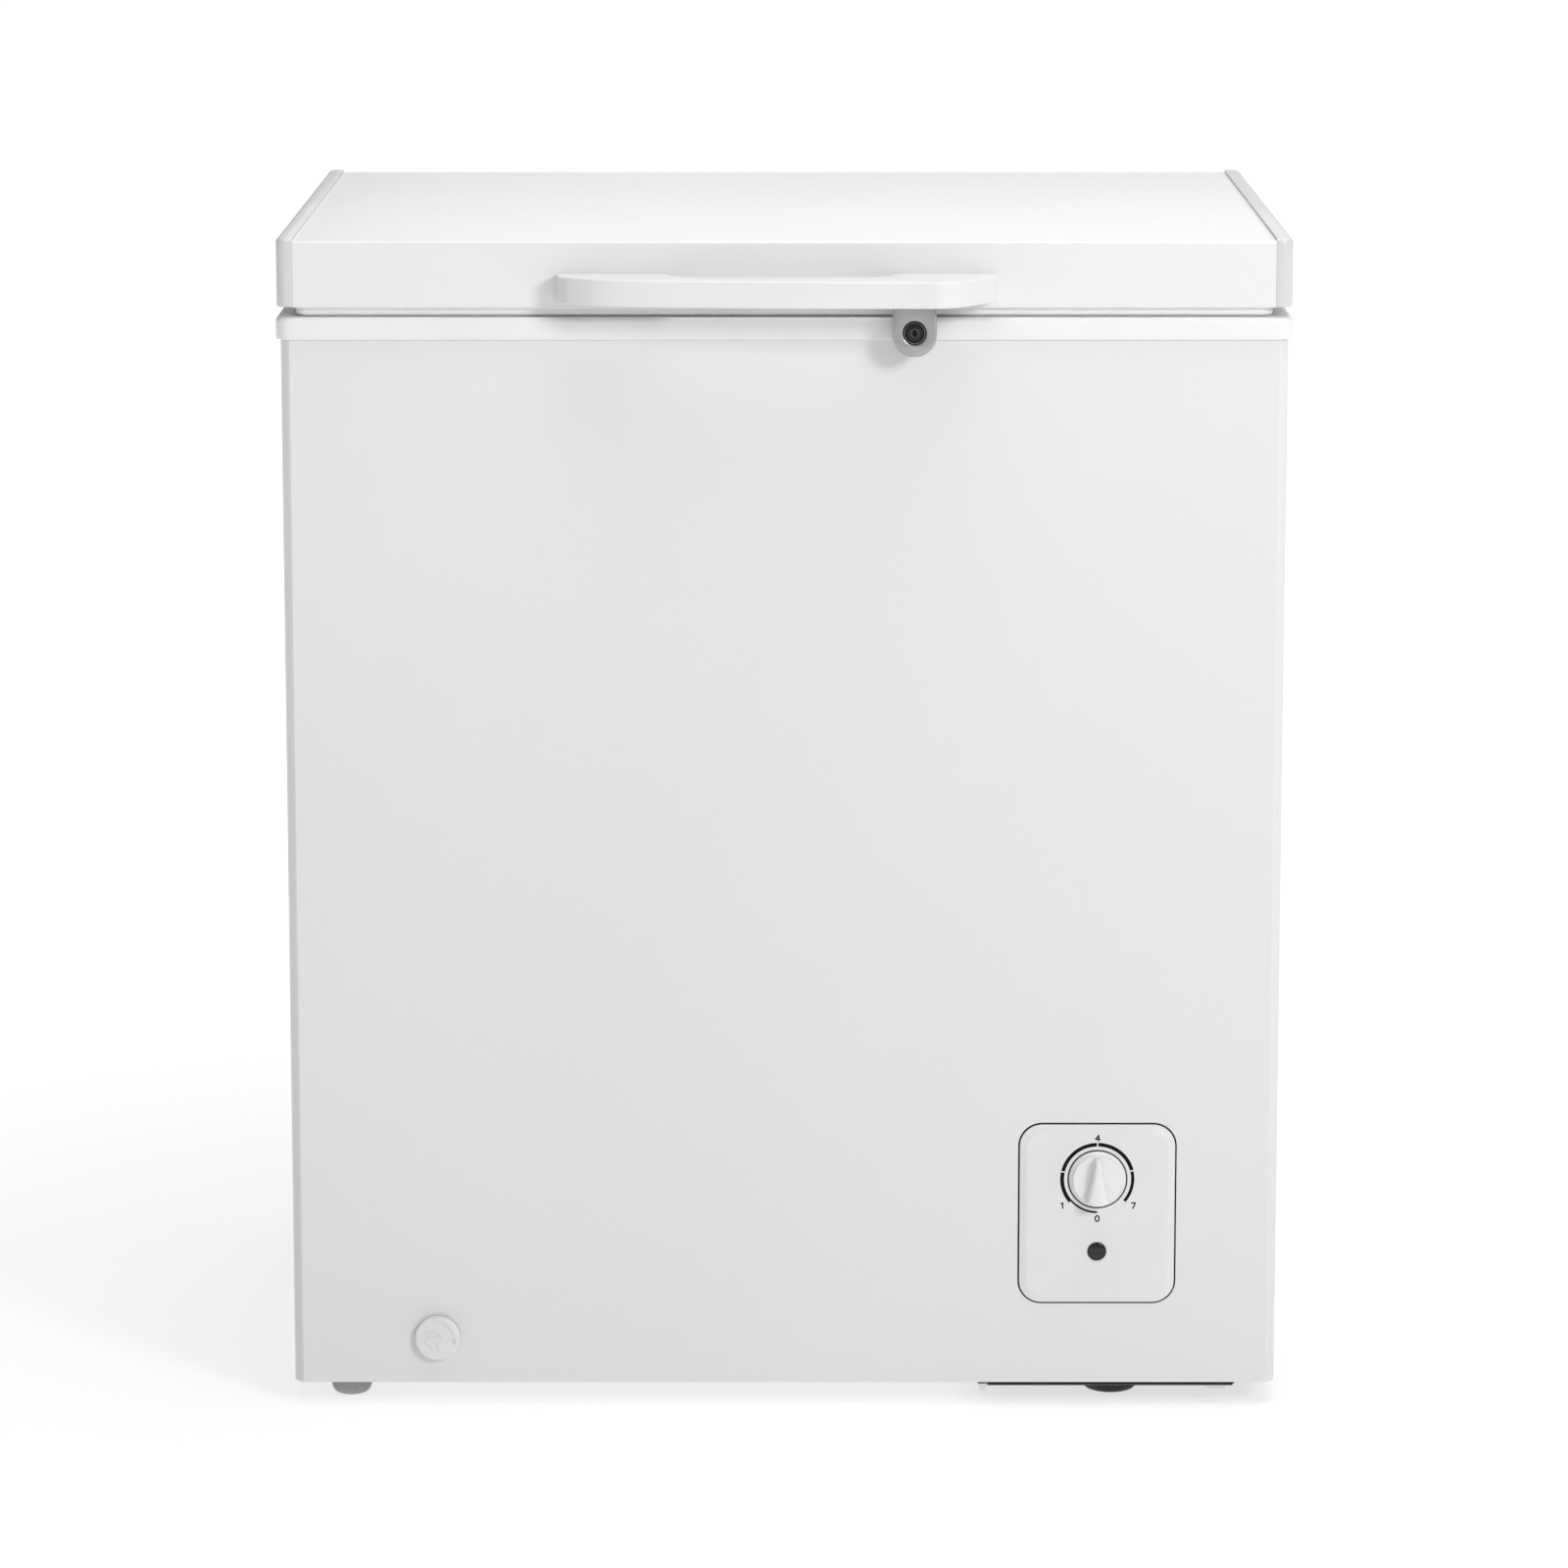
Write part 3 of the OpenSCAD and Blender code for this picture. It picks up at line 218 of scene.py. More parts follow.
WHITE = (0.71, 0.712, 0.716)
M = {
    "sheet": coated("sheet_white", WHITE, 0.34),
    "lid_sheet": coated("lid_sheet_white", (0.74, 0.742, 0.745), 0.36),
    "plastic": moulded("plastic_white", (0.72, 0.722, 0.725), 0.36, coat=0.12),
    "frame": moulded("plastic_frame_white", (0.76, 0.762, 0.765), 0.34, coat=0.1),
    # the end caps' white plastic is darker than the other white mouldings: painted shade on their side-facing
    # rounded faces
    "caps": moulded("plastic_cap_white_shaded", (0.60, 0.602, 0.606), 0.36, coat=0.1),
    "handle": moulded("plastic_handle_white", (0.72, 0.722, 0.725), 0.34),
    "knob": moulded("plastic_knob_white", (0.77, 0.772, 0.775), 0.26, coat=0.3),
    # painted shadow for the gap round the control plate
    "groove": moulded("shadow_line", (0.012, 0.012, 0.013), 0.7, specular=0.05),
    "housing": metal("lock_grey", (0.42, 0.42, 0.415), 0.36, stretch=(1, 1, 12), scale=90),
    "foot_grey": moulded("foot_grey", (0.34, 0.34, 0.34), 0.5),
    "black": moulded("plastic_black", (0.018, 0.018, 0.019), 0.45, depth=0.00004),
    "rubber": moulded("rubber_black", (0.014, 0.014, 0.014), 0.72, grain=500, depth=0.00006, specular=0.3),
    "gasket": moulded("gasket_white", (0.80, 0.803, 0.806), 0.55, grain=600, specular=0.35),
    # black print for the scale and numbers, also used as painted shadow for the ring round the knob
    "print_and_shade": moulded("print_and_shade_black", (0.006, 0.006, 0.007), 0.55, depth=0.000004, specular=0.08),
    "zinc": zinc("zinc_sheet", (0.62, 0.635, 0.65), 0.40, 130),
    "dark_plate": moulded("painted_plate_dark", (0.035, 0.035, 0.037), 0.4),
    "screw": metal("zinc_screw", (0.66, 0.67, 0.68), 0.28),
    "steel": metal("bright_steel", (0.70, 0.71, 0.72), 0.24, stretch=(40, 1, 40)),
    "spring": metal("spring_steel", (0.20, 0.20, 0.205), 0.38),
    "copper": metal("copper_tube", (0.80, 0.40, 0.25), 0.26, stretch=(4, 4, 1), tarnish=0.72),
    "tube": metal("aluminium_tube", (0.76, 0.77, 0.78), 0.34),
    "iron": metal("pump_iron", (0.19, 0.19, 0.195), 0.52, tarnish=0.7, bump=0.0001),
    "chrome": metal("lock_ring", (0.15, 0.15, 0.155), 0.26),
    "enamel": coated("compressor_black", (0.013, 0.013, 0.014), 0.26, coat=0.5),
    "lock": moulded("lock_black", (0.008, 0.008, 0.009), 0.35, specular=0.3),
    "foam": foam_mat("insulation_foam"),
    "liner": stucco("liner_stucco"),
    "wire": moulded("coated_wire", (0.80, 0.81, 0.82), 0.28, coat=0.3),
    "cable": moulded("cable_sheath", (0.70, 0.70, 0.70), 0.45),
}


def lens_mat():
    g = Graph("lens_smoked").set(Roughness=0.14, Specular_IOR_Level=0.35, IOR=1.49)
    g.to(g.ramp(g.noise(160, 3), [(0.3, (0.014, 0.014, 0.015)), (0.75, (0.026, 0.026, 0.028))]), "Base Color")
    g.bump(g.voronoi(900), 0.00008, 0.4)
    return g.mat


M["lens"] = lens_mat()

# ---- mesh builders (millimetres)


def arc(cx, cy, r, a0, a1, n):
    angles = [rad(a0 + (a1 - a0) * i / n) for i in range(n + 1)]
    return [(cx + r * cos(a), cy + r * sin(a)) for a in angles]


def quarter(n, first=0):
    """A rounded edge in n steps: how far it has gone across, and how far along, as shares of its radius."""
    return [(1 - cos(rad(90 * i / n)), sin(rad(90 * i / n))) for i in range(first, n + 1)]


def rrect(w, d, r, c=(0, 0), n=8):
    x, y = w / 2 - r, d / 2 - r
    return (arc(c[0] + x, c[1] + y, r, 0, 90, n) + arc(c[0] - x, c[1] + y, r, 90, 180, n)
            + arc(c[0] - x, c[1] - y, r, 180, 270, n) + arc(c[0] + x, c[1] - y, r, 270, 360, n))


def link(name, data):
    ob = bpy.data.objects.new(name, data)
    SCENE.collection.objects.link(ob)
    return ob


def discard(ob):
    bpy.data.objects.remove(ob, do_unlink=True)


def shade(ob, sharp=30):
    for p in ob.data.polygons:
        p.use_smooth = True
    ob.data.set_sharp_from_angle(angle=rad(sharp))


def clean(me, weld, empty=0.0):
    """Welds doubled points, drops faces with no area, and turns the normals outwards."""
    bm = bmesh.new()
    bm.from_mesh(me)
    bmesh.ops.remove_doubles(bm, verts=bm.verts, dist=weld)
    if empty:
        bmesh.ops.dissolve_degenerate(bm, edges=bm.edges, dist=empty)
    bmesh.ops.recalc_face_normals(bm, faces=bm.faces)
    bm.to_mesh(me)
    bm.free()


def mesh_object(name, verts, faces, sharp=30):
    me = bpy.data.meshes.new(name)
    me.from_pydata([tuple(c * MM for c in v) for v in verts], [], faces)
    ob = link(name, me)
    clean(me, 1e-6, 1e-7)
    shade(ob, sharp)
    return ob


def evaluated(ob):
    dg = bpy.context.evaluated_depsgraph_get()
    return bpy.data.meshes.new_from_object(ob.evaluated_get(dg), depsgraph=dg)


def modify(ob, kind, **settings):
    m = ob.modifiers.new("m", kind)
    for key, value in settings.items():
        setattr(m, key, value)
    me = evaluated(ob)
    ob.modifiers.clear()
    ob.data = me


def bevel(ob, width, segments=2, angle=35, sharp=30):
    modify(ob, "BEVEL", width=width * MM, segments=segments, limit_method="ANGLE",
           angle_limit=rad(angle), harden_normals=False, use_clamp_overlap=True)
    shade(ob, sharp)
    return ob


def cut(ob, tool, sharp=30):
    modify(ob, "BOOLEAN", operation="DIFFERENCE", object=tool, solver="EXACT")
    discard(tool)
    shade(ob, sharp)


def loft(rings, cap_start=True, cap_end=True, loop=False):
    """Faces between rings of equal length; loop joins the last ring to the first."""
    n = len(rings[0])
    verts = [v for r in rings for v in r]
    faces = []
    for i in range(len(rings) - (0 if loop else 1)):
        a, b = i * n, ((i + 1) % len(rings)) * n
        faces += [(a + k, a + (k + 1) % n, b + (k + 1) % n, b + k) for k in range(n)]
    if not loop:
        if cap_start:
            faces.append(tuple(range(n - 1, -1, -1)))
        if cap_end:
            faces.append(tuple((len(rings) - 1) * n + k for k in range(n)))
    return verts, faces


def lofted(name, rings, sharp=30, **ends):
    verts, faces = loft(rings, **ends)
    return mesh_object(name, verts, faces, sharp)


def level(points, z):
    return [(x, y, z) for x, y in points]


def across_x(points, x):
    return [(x, y, z) for y, z in points]


def bent_sheet(name, outer, inner, place, ends, sharp):
    """A sheet between two open outlines, swept from one end to the other, with both ends closed."""
    closed = outer + list(reversed(inner))
    verts, faces = loft([place(closed, end) for end in ends], cap_start=False, cap_end=False)
    n, total = len(outer), len(closed)
    for base in (0, total):
        for k in range(n - 1):
            faces.append((base + k, base + k + 1, base + total - 2 - k, base + total - 1 - k))
    return mesh_object(name, verts, faces, sharp)


def rings_object(name, profile, c=(0, 0), sharp=30, n=8, **ends):
    """profile: (width, depth, corner radius, z) for each ring."""
    rings = [level(rrect(w, d, max(r, 0.05), c, n), z) for w, d, r, z in profile]
    return lofted(name, rings, sharp, **ends)


def lathe(name, profile, at, axis="z", n=64, sharp=30):
    """profile: (radius, height) from one end to the other; for axis 'y' the heights run out of the front."""
    rings = []
    for r, h in profile:
        ring = []
        for i in range(n):
            a = 2 * pi * i / n
            x, y = max(r, 0.001) * cos(a), max(r, 0.001) * sin(a)
            p = {"z": (x, y, h), "y": (x, -h, y), "x": (h, x, y)}[axis]
            ring.append((at[0] + p[0], at[1] + p[1], at[2] + p[2]))
        rings.append(ring)
    return lofted(name, rings, sharp)


def brick(name, lo, hi, width=0.0):
    pts = [(lo[0], lo[1]), (hi[0], lo[1]), (hi[0], hi[1]), (lo[0], hi[1])]
    ob = lofted(name, [level(pts, lo[2]), level(pts, hi[2])])
    return bevel(ob, width) if width else ob


TO_FRONT = Matrix(((1, 0, 0, 0), (0, 0, -1, 0), (0, 1, 0, 0), (0, 0, 0, 1)))


def plate(name, outlines, lo, hi, round_edge=0.0, plane="xz", segments=3, sharp=30):
    """Outlines with holes, extruded from lo to hi: out of the front for 'xz', upwards for 'xy'."""
    cu = bpy.data.curves.new(name, "CURVE")
    cu.dimensions = "2D"
    cu.fill_mode = "BOTH"
    half = (hi - lo) / 2
    cu.extrude = max(half - round_edge, 0) * MM
    cu.bevel_depth = round_edge * MM
    cu.bevel_resolution = segments
    cu.offset = -round_edge * MM
    for pts in outlines:
        s = cu.splines.new("POLY")
        s.points.add(len(pts) - 1)
        for p, q in zip(s.points, pts):
            p.co = (q[0] * MM, q[1] * MM, 0, 1)
        s.use_cyclic_u = True
    tmp = link(name + "_curve", cu)
    me = evaluated(tmp)
    discard(tmp)
    me.transform(Matrix.Translation((0, 0, (lo + half) * MM)))
    if plane == "xz":
        me.transform(TO_FRONT)
    ob = link(name, me)
    clean(me, 2e-6)
    me.materials.clear()
    shade(ob, sharp)
    return ob


def tube(name, path, r, sides=12, closed=False, sharp=50):
    """Round tube along points; the frame is carried along so it doesn't twist."""
    pts = [Vector(p) for p in path]
    n = len(pts)
    across = None
    rings = []
    for i, p in enumerate(pts):
        if closed:
            t = (pts[(i + 1) % n] - pts[i - 1]).normalized()
        else:
            t = (pts[min(i + 1, n - 1)] - pts[max(i - 1, 0)]).normalized()
        if across is None:
            across = t.orthogonal()
        across = (across - t * across.dot(t)).normalized()
        v = t.cross(across)
        rings.append([tuple(p + r * (across * cos(2 * pi * k / sides) + v * sin(2 * pi * k / sides)))
                      for k in range(sides)])
    return lofted(name, rings, sharp, loop=closed)


def rounded_path(points, r, n=5):
    """Polyline with its inner corners rounded to radius r."""
    pts = [Vector(p) for p in points]
    out = [pts[0]]
    for a, b, c in zip(pts, pts[1:], pts[2:]):
        u, w = (a - b), (c - b)
        k = min(r, u.length * 0.49, w.length * 0.49)
        u, w = u.normalized() * k, w.normalized() * k
        for i in range(n + 1):
            t = i / n
            out.append(b + u * (1 - t) ** 2 + w * t ** 2)
    return out + [pts[-1]]


def join(name, parts, sharp=30):
    verts, faces, base = [], [], 0
    for ob in parts:
        verts += [v.co.copy() for v in ob.data.vertices]
        faces += [tuple(base + i for i in p.vertices) for p in ob.data.polygons]
        base = len(verts)
    me = bpy.data.meshes.new(name)
    me.from_pydata(verts, [], faces)
    for ob in parts:
        discard(ob)
    ob = link(name, me)
    shade(ob, sharp)
    return ob


def moved(ob, dx, dy, dz):
    ob.data.transform(Matrix.Translation((dx * MM, dy * MM, dz * MM)))
    return ob


def add(ob, body, slot, mat, *nodes):
    ob.data.materials.clear()
    ob.data.materials.append(M[mat])
    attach(ob, body)
    if nodes:
        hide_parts(*nodes)


def finish_node(node, mat):
    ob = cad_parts[node]
    for s in ob.material_slots:
        s.material = M[mat]
    if not ob.material_slots:
        ob.data.materials.append(M[mat])


# ---- cabinet

EDGE_R, EDGE_SWEEP = 15.0, 58.0


def cabinet_path(t, n=14):
    """Plan of the wrapped sheet from its right rear flange round the front to the left one, set in by t."""
    rc = 4.0
    ro = max(rc - t, 0.4)
    r = EDGE_R - t
    yc = CAB_F + EDGE_R * sin(rad(EDGE_SWEEP))
    last = math.degrees(math.asin((yc - CAB_F - t) / r))
    right = [(SIDE - 14, CAB_R - t)] + arc(SIDE - rc, CAB_R - rc, ro, 90, 0, 6)
    right += arc(SIDE - EDGE_R, yc, r, 360, 360 - last, n)
    left = [(-x, y) for x, y in reversed(right)]
    return right + left


def build_wrap():
    sharp, deep = 24, 5
    outer, inner = cabinet_path(0), cabinet_path(1.0)
    ob = bent_sheet("cabinet_sheet", outer, inner, level, (WRAP_LO[2], WRAP_HI[2]), sharp)
    lo, hi = mm("side_grille")
    flange = 8
    cut(ob, brick("t", (SIDE - deep, lo[1] + flange, lo[2] + flange),
                  (SIDE + deep, hi[1] - flange, hi[2] - flange)), sharp)
    half_w, half_h = 49, 59
    cut(ob, brick("t", (PX - half_w, CAB_F - deep, PZ - half_h),
                  (PX + half_w, CAB_F + deep, PZ + half_h)), sharp)
    drain_r = 12.7
    cut(ob, lathe("t", [(drain_r, -deep), (drain_r, deep)], (DX, CAB_F, DZ), "y"), sharp)
    add(ob, "cabinet", "white_steel", "sheet", "cabinet_wrap")


build_wrap()


def build_frame():
    w, d = FRAME_HI[0] - FRAME_LO[0], FRAME_HI[1] - FRAME_LO[1]
    lo, hi = mm("inner_liner")
    lw, ld = hi[0] - lo[0] - 21, hi[1] - lo[1] - 21
    rim_w, rim_d, thr_w, thr_d = lw + 16, ld + 16, lw - 4, ld - 4
    t = TOP
    b = t - 16
    prof = [(w - 1.2, d - 1.2, 11.4, b), (w - 0.3, d - 0.3, 11.8, b + 0.4), (w, d, 12, b + 1.2)]
    edge = 3.6
    for u, v in quarter(8):
        k = edge * u
        prof.append((w - 2 * k, d - 2 * k, 12 - k * 0.6, t - edge + edge * v))
    # the ledge inside the frame: how much wider than the rim, corner radius, depth below the top
    prof += [(rim_w + o, rim_d + o, r, t - z) for o, r, z in
             ((4, 35, 0), (1.2, 33.6, 0.4), (0, 33, 1.6), (0, 33, 11.2), (-1, 32.5, 12))]
    # the throat below the ledge and the back of the frame's inner leg
    prof += [(thr_w + o, thr_d + o, r, t - z) for o, r, z in
             ((2.4, 24.2, 12), (0.7, 23.4, 12.3), (0, 23, 13.2), (0, 23, 25.6), (1, 23.5, 26), (3, 24.5, 26),
              (3, 24.5, 15.5))]
    prof += [(rim_w + 5, rim_d + 5, 35, t - 15.5), (rim_w + 5, rim_d + 5, 35, t - 3)]
    prof += [(w - 5.2, d - 5.2, 5, t - 3), (w - 5.2, d - 5.2, 5, b)]
    ob = rings_object("cabinet_top_frame", prof, loop=True, c=(0, MID), n=10, sharp=32)
    add(ob, "cabinet", "white_plastic", "frame", "top_frame")


build_frame()


def build_liner():
    lo, hi = mm("inner_liner")
    floor = lo[2] + 1
    x0, x1 = lo[0] + 10.5, hi[0] - 10.5
    y0, y1 = lo[1] + 10.5, hi[1] - 10.5
    top = hi[2] - 0.5
    step_x, step_z = 100.0, 340.0

    def ring(xr, z, t=0.0):
        """A ring of the wall, set in by t, with its right side at xr."""
        a, b = x0 + t, xr - t
        return level(rrect(b - a, y1 - y0 - 2 * t, max(25 - t * 0.8, 6), ((a + b) / 2, (y0 + y1) / 2)), z)

    def walls(o):
        """o = 0 for the inside of the sheet, 1 for its outside."""
        out = []
        r = 10
        for z in (top, 560, step_z + r):
            out.append(ring(x1 + o, z, -o))
        for u, v in quarter(5, 1):
            out.append(ring(x1 - r * u + o, step_z - o + r * (1 - v), -o))
        out.append(ring(step_x + 4 + o, step_z - o, -o))
        for u, v in quarter(4, 1):
            out.append(ring(step_x + o + 4 * (1 - v), step_z - o - 4 * u, -o))
        r = 12
        for z in (200, floor + r):
            out.append(ring(step_x + o, z, -o))
        for u, v in quarter(5, 1):
            out.append(ring(step_x, floor + r - (r + o) * v, r * u - o))
        return out

    ob = lofted("liner_sheet", walls(0.0), 32, cap_start=False)
    # the solidify below needs the normals to face the inside of the cabinet
    bm = bmesh.new()
    bm.from_mesh(ob.data)
    centre = Vector((0, MID * MM, 0.5))
    probe = max(bm.faces, key=lambda q: q.calc_area())
    if probe.normal.dot(centre - probe.calc_center_median()) < 0:
        bmesh.ops.reverse_faces(bm, faces=bm.faces)
    bm.to_mesh(ob.data)
    bm.free()
    modify(ob, "SOLIDIFY", thickness=0.8 * MM, offset=-1)
    px, py, _ = middle(*mm("floor_drain_plug"))
    hole_r = 8.0
    cut(ob, lathe("t", [(hole_r, -8), (hole_r, 8)], (px, py, floor)), 32)
    add(ob, "cabinet", "liner", "liner", "inner_liner")


build_liner()


def build_rear():
    lo, hi = mm("rear_panel")
    glo, ghi = mm("rear_grille")
    pts = [(lo[0], lo[2]), (hi[0], lo[2]), (hi[0], hi[2]), (lo[0], hi[2])]
    gx, _, gz = middle(glo, ghi)
    hole = rrect(ghi[0] - glo[0] - 18, ghi[2] - glo[2] - 18, 4, (gx, gz))
    base = plate("rear_sheet", [pts, hole], -hi[1], -lo[1])
    # stiffening ribs, 0.7 mm proud of the sheet; the one nearest the grille starts higher
    ribs = []
    rib_top, rib_w = 660, 26
    for x, low in ((-290, 60), (-150, 60), (0, 60), (130, 330)):
        rib = rrect(rib_w, rib_top - low, 12.9, (x, low + (rib_top - low) / 2), 10)
        ribs.append(plate("rib", [rib], -(hi[1] + 0.7), -(hi[1] - 0.6), 0.6))
    ob = join("rear_sheet_ribbed", [base] + ribs)
    add(ob, "cabinet", "zinc_steel", "zinc", "rear_panel")


build_rear()


def build_rear_grille():
    lo, hi = mm("rear_grille")
    cx = (lo[0] + hi[0]) / 2
    w = hi[0] - lo[0] - 48
    slots, pitch, first = 12, 15, 65.5
    # the notch at the lower left clears the corner plate that holds the cord's hole
    k = 52.3
    r = 6
    outlines = [[(lo[0] + k, lo[2]), (hi[0] - r, lo[2])] + arc(hi[0] - r, lo[2] + r, r, 270, 360, 6)
                + arc(hi[0] - r, hi[2] - r, r, 0, 90, 6) + arc(lo[0] + r, hi[2] - r, r, 90, 180, 6)
                + [(lo[0], lo[2] + k), (lo[0] + k, lo[2] + k)]]
    for i in range(slots):
        outlines.append(rrect(w, 7, 3.4, (cx, lo[2] + first + pitch * i), 6))
    face = plate("g", outlines, -hi[1], -lo[1])
    bevel(face, 0.5, 2, 60)
    hoods = []
    hood = [(0, 0.2), (2.2, -1.6), (2.2, -2.4), (0, -0.8)]
    for i in range(slots):
        z = lo[2] + first + 3.5 + pitch * i + 0.8
        rings = [[(x, hi[1] - 0.4 + p, z + q) for p, q in hood] for x in (cx - w / 2, cx + w / 2)]
        hoods.append(lofted("h", rings))
    ob = join("rear_grille_cover", [face] + hoods)
    add(ob, "cabinet", "white_plastic", "plastic", "rear_grille")


build_rear_grille()


def build_side_grille():
    lo, hi = mm("side_grille")
    _, cy, cz = middle(lo, hi)
    d, h = hi[1] - lo[1], hi[2] - lo[2]
    slots, pitch, first, flange = 12, 13, 19, 8
    outlines = [rrect(d, h, 6, (cy, cz))]
    for i in range(slots):
        outlines.append(rrect(d - 32, 6, 2.9, (cy, lo[2] + first + pitch * i), 6))
    ob = plate("side_grille_cover", outlines, SIDE + 0.1, hi[0], 0.8, plane="xy")
    # from the flat plane to the right-hand side: (u, v, height) becomes (height, u, v)
    ob.data.transform(Matrix(((0, 0, 1, 0), (1, 0, 0, 0), (0, 1, 0, 0), (0, 0, 0, 1))))
    rings = []
    for (t, x) in ((0.5, SIDE + 0.15), (0.5, lo[0]), (2.5, lo[0]), (2.5, SIDE + 0.15)):
        inset = 2 * flange + 2 * t
        rings.append(across_x(rrect(d - inset, h - inset, 2, (cy, cz), 3), x))
    sleeve = lofted("sleeve", rings, loop=True)
    blades = []
    front, back = SIDE - 0.5, SIDE - 9
    for i in range(slots - 1):
        z = lo[2] + first + pitch / 2 + pitch * i
        rings = [[(front, y, z - 1.2), (front, y, z + 0.6), (back, y, z + 4.4), (back, y, z + 3.2)]
                 for y in (cy - d / 2 + 11, cy + d / 2 - 11)]
        blades.append(lofted("b", rings))
    shade(ob)
    ob = join("side_grille_vent", [ob, sleeve] + blades)
    add(ob, "cabinet", "white_plastic", "plastic", "side_grille")


build_side_grille()

# ---- screws


def screw_heads(name, spots, r, body, node, shank, length=8.0):
    """Pan heads with a cross recess that face the rear (+Y), each turned a little further than the last."""
    prof = [(0.01, -length), (shank * 0.5, -length), (shank, -length + 1.5), (shank, 0), (r, 0), (r, 0.5)]
    for i in range(1, 7):
        a = rad(15 * i)
        prof.append((r * cos(a) if i < 6 else 0.01, 0.5 + 1.7 * sin(a)))
    head = lathe("s", prof, (0, 0, 0), "y", 28)
    for w, h in ((r * 1.05, 0.9), (0.9, r * 1.05)):
        cut(head, brick("t", (-w / 2, -3.0, -h / 2), (w / 2, -1.2, h / 2)))
    head.data.transform(Matrix.Scale(-1, 4, (0, 1, 0)))
    head.data.flip_normals()
    parts = []
    for i, (x, y, z) in enumerate(spots):
        c = link("c", head.data.copy())
        c.data.transform(Matrix.Rotation(rad(17 + 61 * i), 4, "Y"))
        parts.append(moved(c, x, y, z))
    discard(head)
    add(join(name, parts), body, "zinc_steel", "screw", node)


def build_screws():
    leaf = 2.5
    xs = [s * HINGE_X + dx for s in (-1, 1) for dx in (-22, 22)]
    y = mm("hinge_cabinet_leaves")[0][1] + leaf
    spots = [(x, y, z) for x in xs for z in (TOP - 92, TOP - 42)]
    screw_heads("cabinet_hinge_pan_screws", spots, 4.2, "cabinet", "cabinet_hinge_screws", 2.0)
    spots = [(x, LID_R + leaf, z) for x in xs for z in (LID_B + 15, LID_B + 34)]
    screw_heads("lid_hinge_pan_screws", spots, 4.2, "lid", "lid_hinge_screws", 2.0)
    lo, hi = mm("rear_grille")
    spots = [(x, hi[1], z) for x in (lo[0] + 5, hi[0] - 5) for z in (lo[2] + 5, hi[2] - 5)]
    screw_heads("grille_pan_screws", spots, 4.0, "cabinet", "rear_grille_screws", 1.6)


build_screws()

# ---- hinge springs


def build_springs():
    """The coils stay with the cabinet, and the legs that press on the lid move with the lid."""
    turns, steps, r, wire, half = 14, 20, 5.1, 1.05, 17.6
    parts = []
    for s in (-1, 1):
        cx = s * HINGE_X
        path = []
        for i in range(turns * steps + 1):
            a = 2 * pi * i / steps
            x = cx - half + 2 * half * i / (turns * steps)
            path.append((x, HINGE_Y + r * cos(a + pi), HINGE_Z + r * sin(a + pi)))
        low = [(cx - half, HINGE_Y - r, TOP - 21.6), (cx - half, HINGE_Y - r, HINGE_Z - 3)]
        parts.append(tube("spring", low + path, wire, 8))
    add(join("hinge_torsion_springs", parts, 50), "cabinet", "spring_steel", "spring", "hinge_springs")
    legs = []
    for s in (-1, 1):
        cx = s * HINGE_X + half
        path = [(cx, HINGE_Y - r, HINGE_Z), (cx, HINGE_Y - r, HINGE_Z + 3),
                (cx, HINGE_Y - 6.6, HINGE_Z + 4.7), (cx, HINGE_Y - 9, HINGE_Z + 5),
                (cx, LID_R + 3.6, HINGE_Z + 5)]
        legs.append(tube("leg", path, wire, 8))
    add(join("hinge_spring_lid_legs", legs, 50), "lid", "spring_steel", "spring")


build_springs()

# ---- lid


def build_lid_skin():
    def prof(t):
        """The sheet's section from its front flange over the top to its rear one, set in by t."""
        r, flange = 2.5, 11
        return ([(LID_F + flange, LID_B + t), (LID_F + t, LID_B + t)]
                + arc(LID_F + r, LID_T - r, r - t, 180, 90, 8) + arc(LID_R - r, LID_T - r, r - t, 90, 0, 8)
                + [(LID_R - t, LID_B + t), (LID_R - flange, LID_B + t)])

    ob = bent_sheet("lid_top_sheet", prof(0.0), prof(1.0), across_x, (SKIN_LO[0], SKIN_HI[0]), 25)
    add(ob, "lid", "white_steel", "lid_sheet", "lid_skin")


build_lid_skin()


def build_caps():
    xi, xo, bot, top = CAP_LO[0], CAP_HI[0], CAP_LO[2], CAP_HI[2]

    def plan(t):
        r = 8.0
        return ([(xi, LID_R - t)] + arc(xo - r, LID_R - r, r - t, 90, 0, 10)
                + arc(xo - r, LID_F + r, r - t, 0, -90, 10) + [(xi, LID_F + t)])

    edge = 3.6
    secs = [(1.2, bot), (0.35, bot + 0.35), (0.0, bot + 1.2)]
    secs += [(edge * u, top - edge + edge * v) for u, v in quarter(8)]
    for side, node in ((1, "lid_end_cap_right"), (-1, "lid_end_cap_left")):
        rings = [level([(side * x, y) for x, y in plan(t)], z) for t, z in secs]
        ob = lofted(node.replace("lid_", "moulded_"), rings, 34)
        bevel(ob, 0.5, 2, 60, 34)
        add(ob, "lid", "white_plastic", "caps", node)


build_caps()


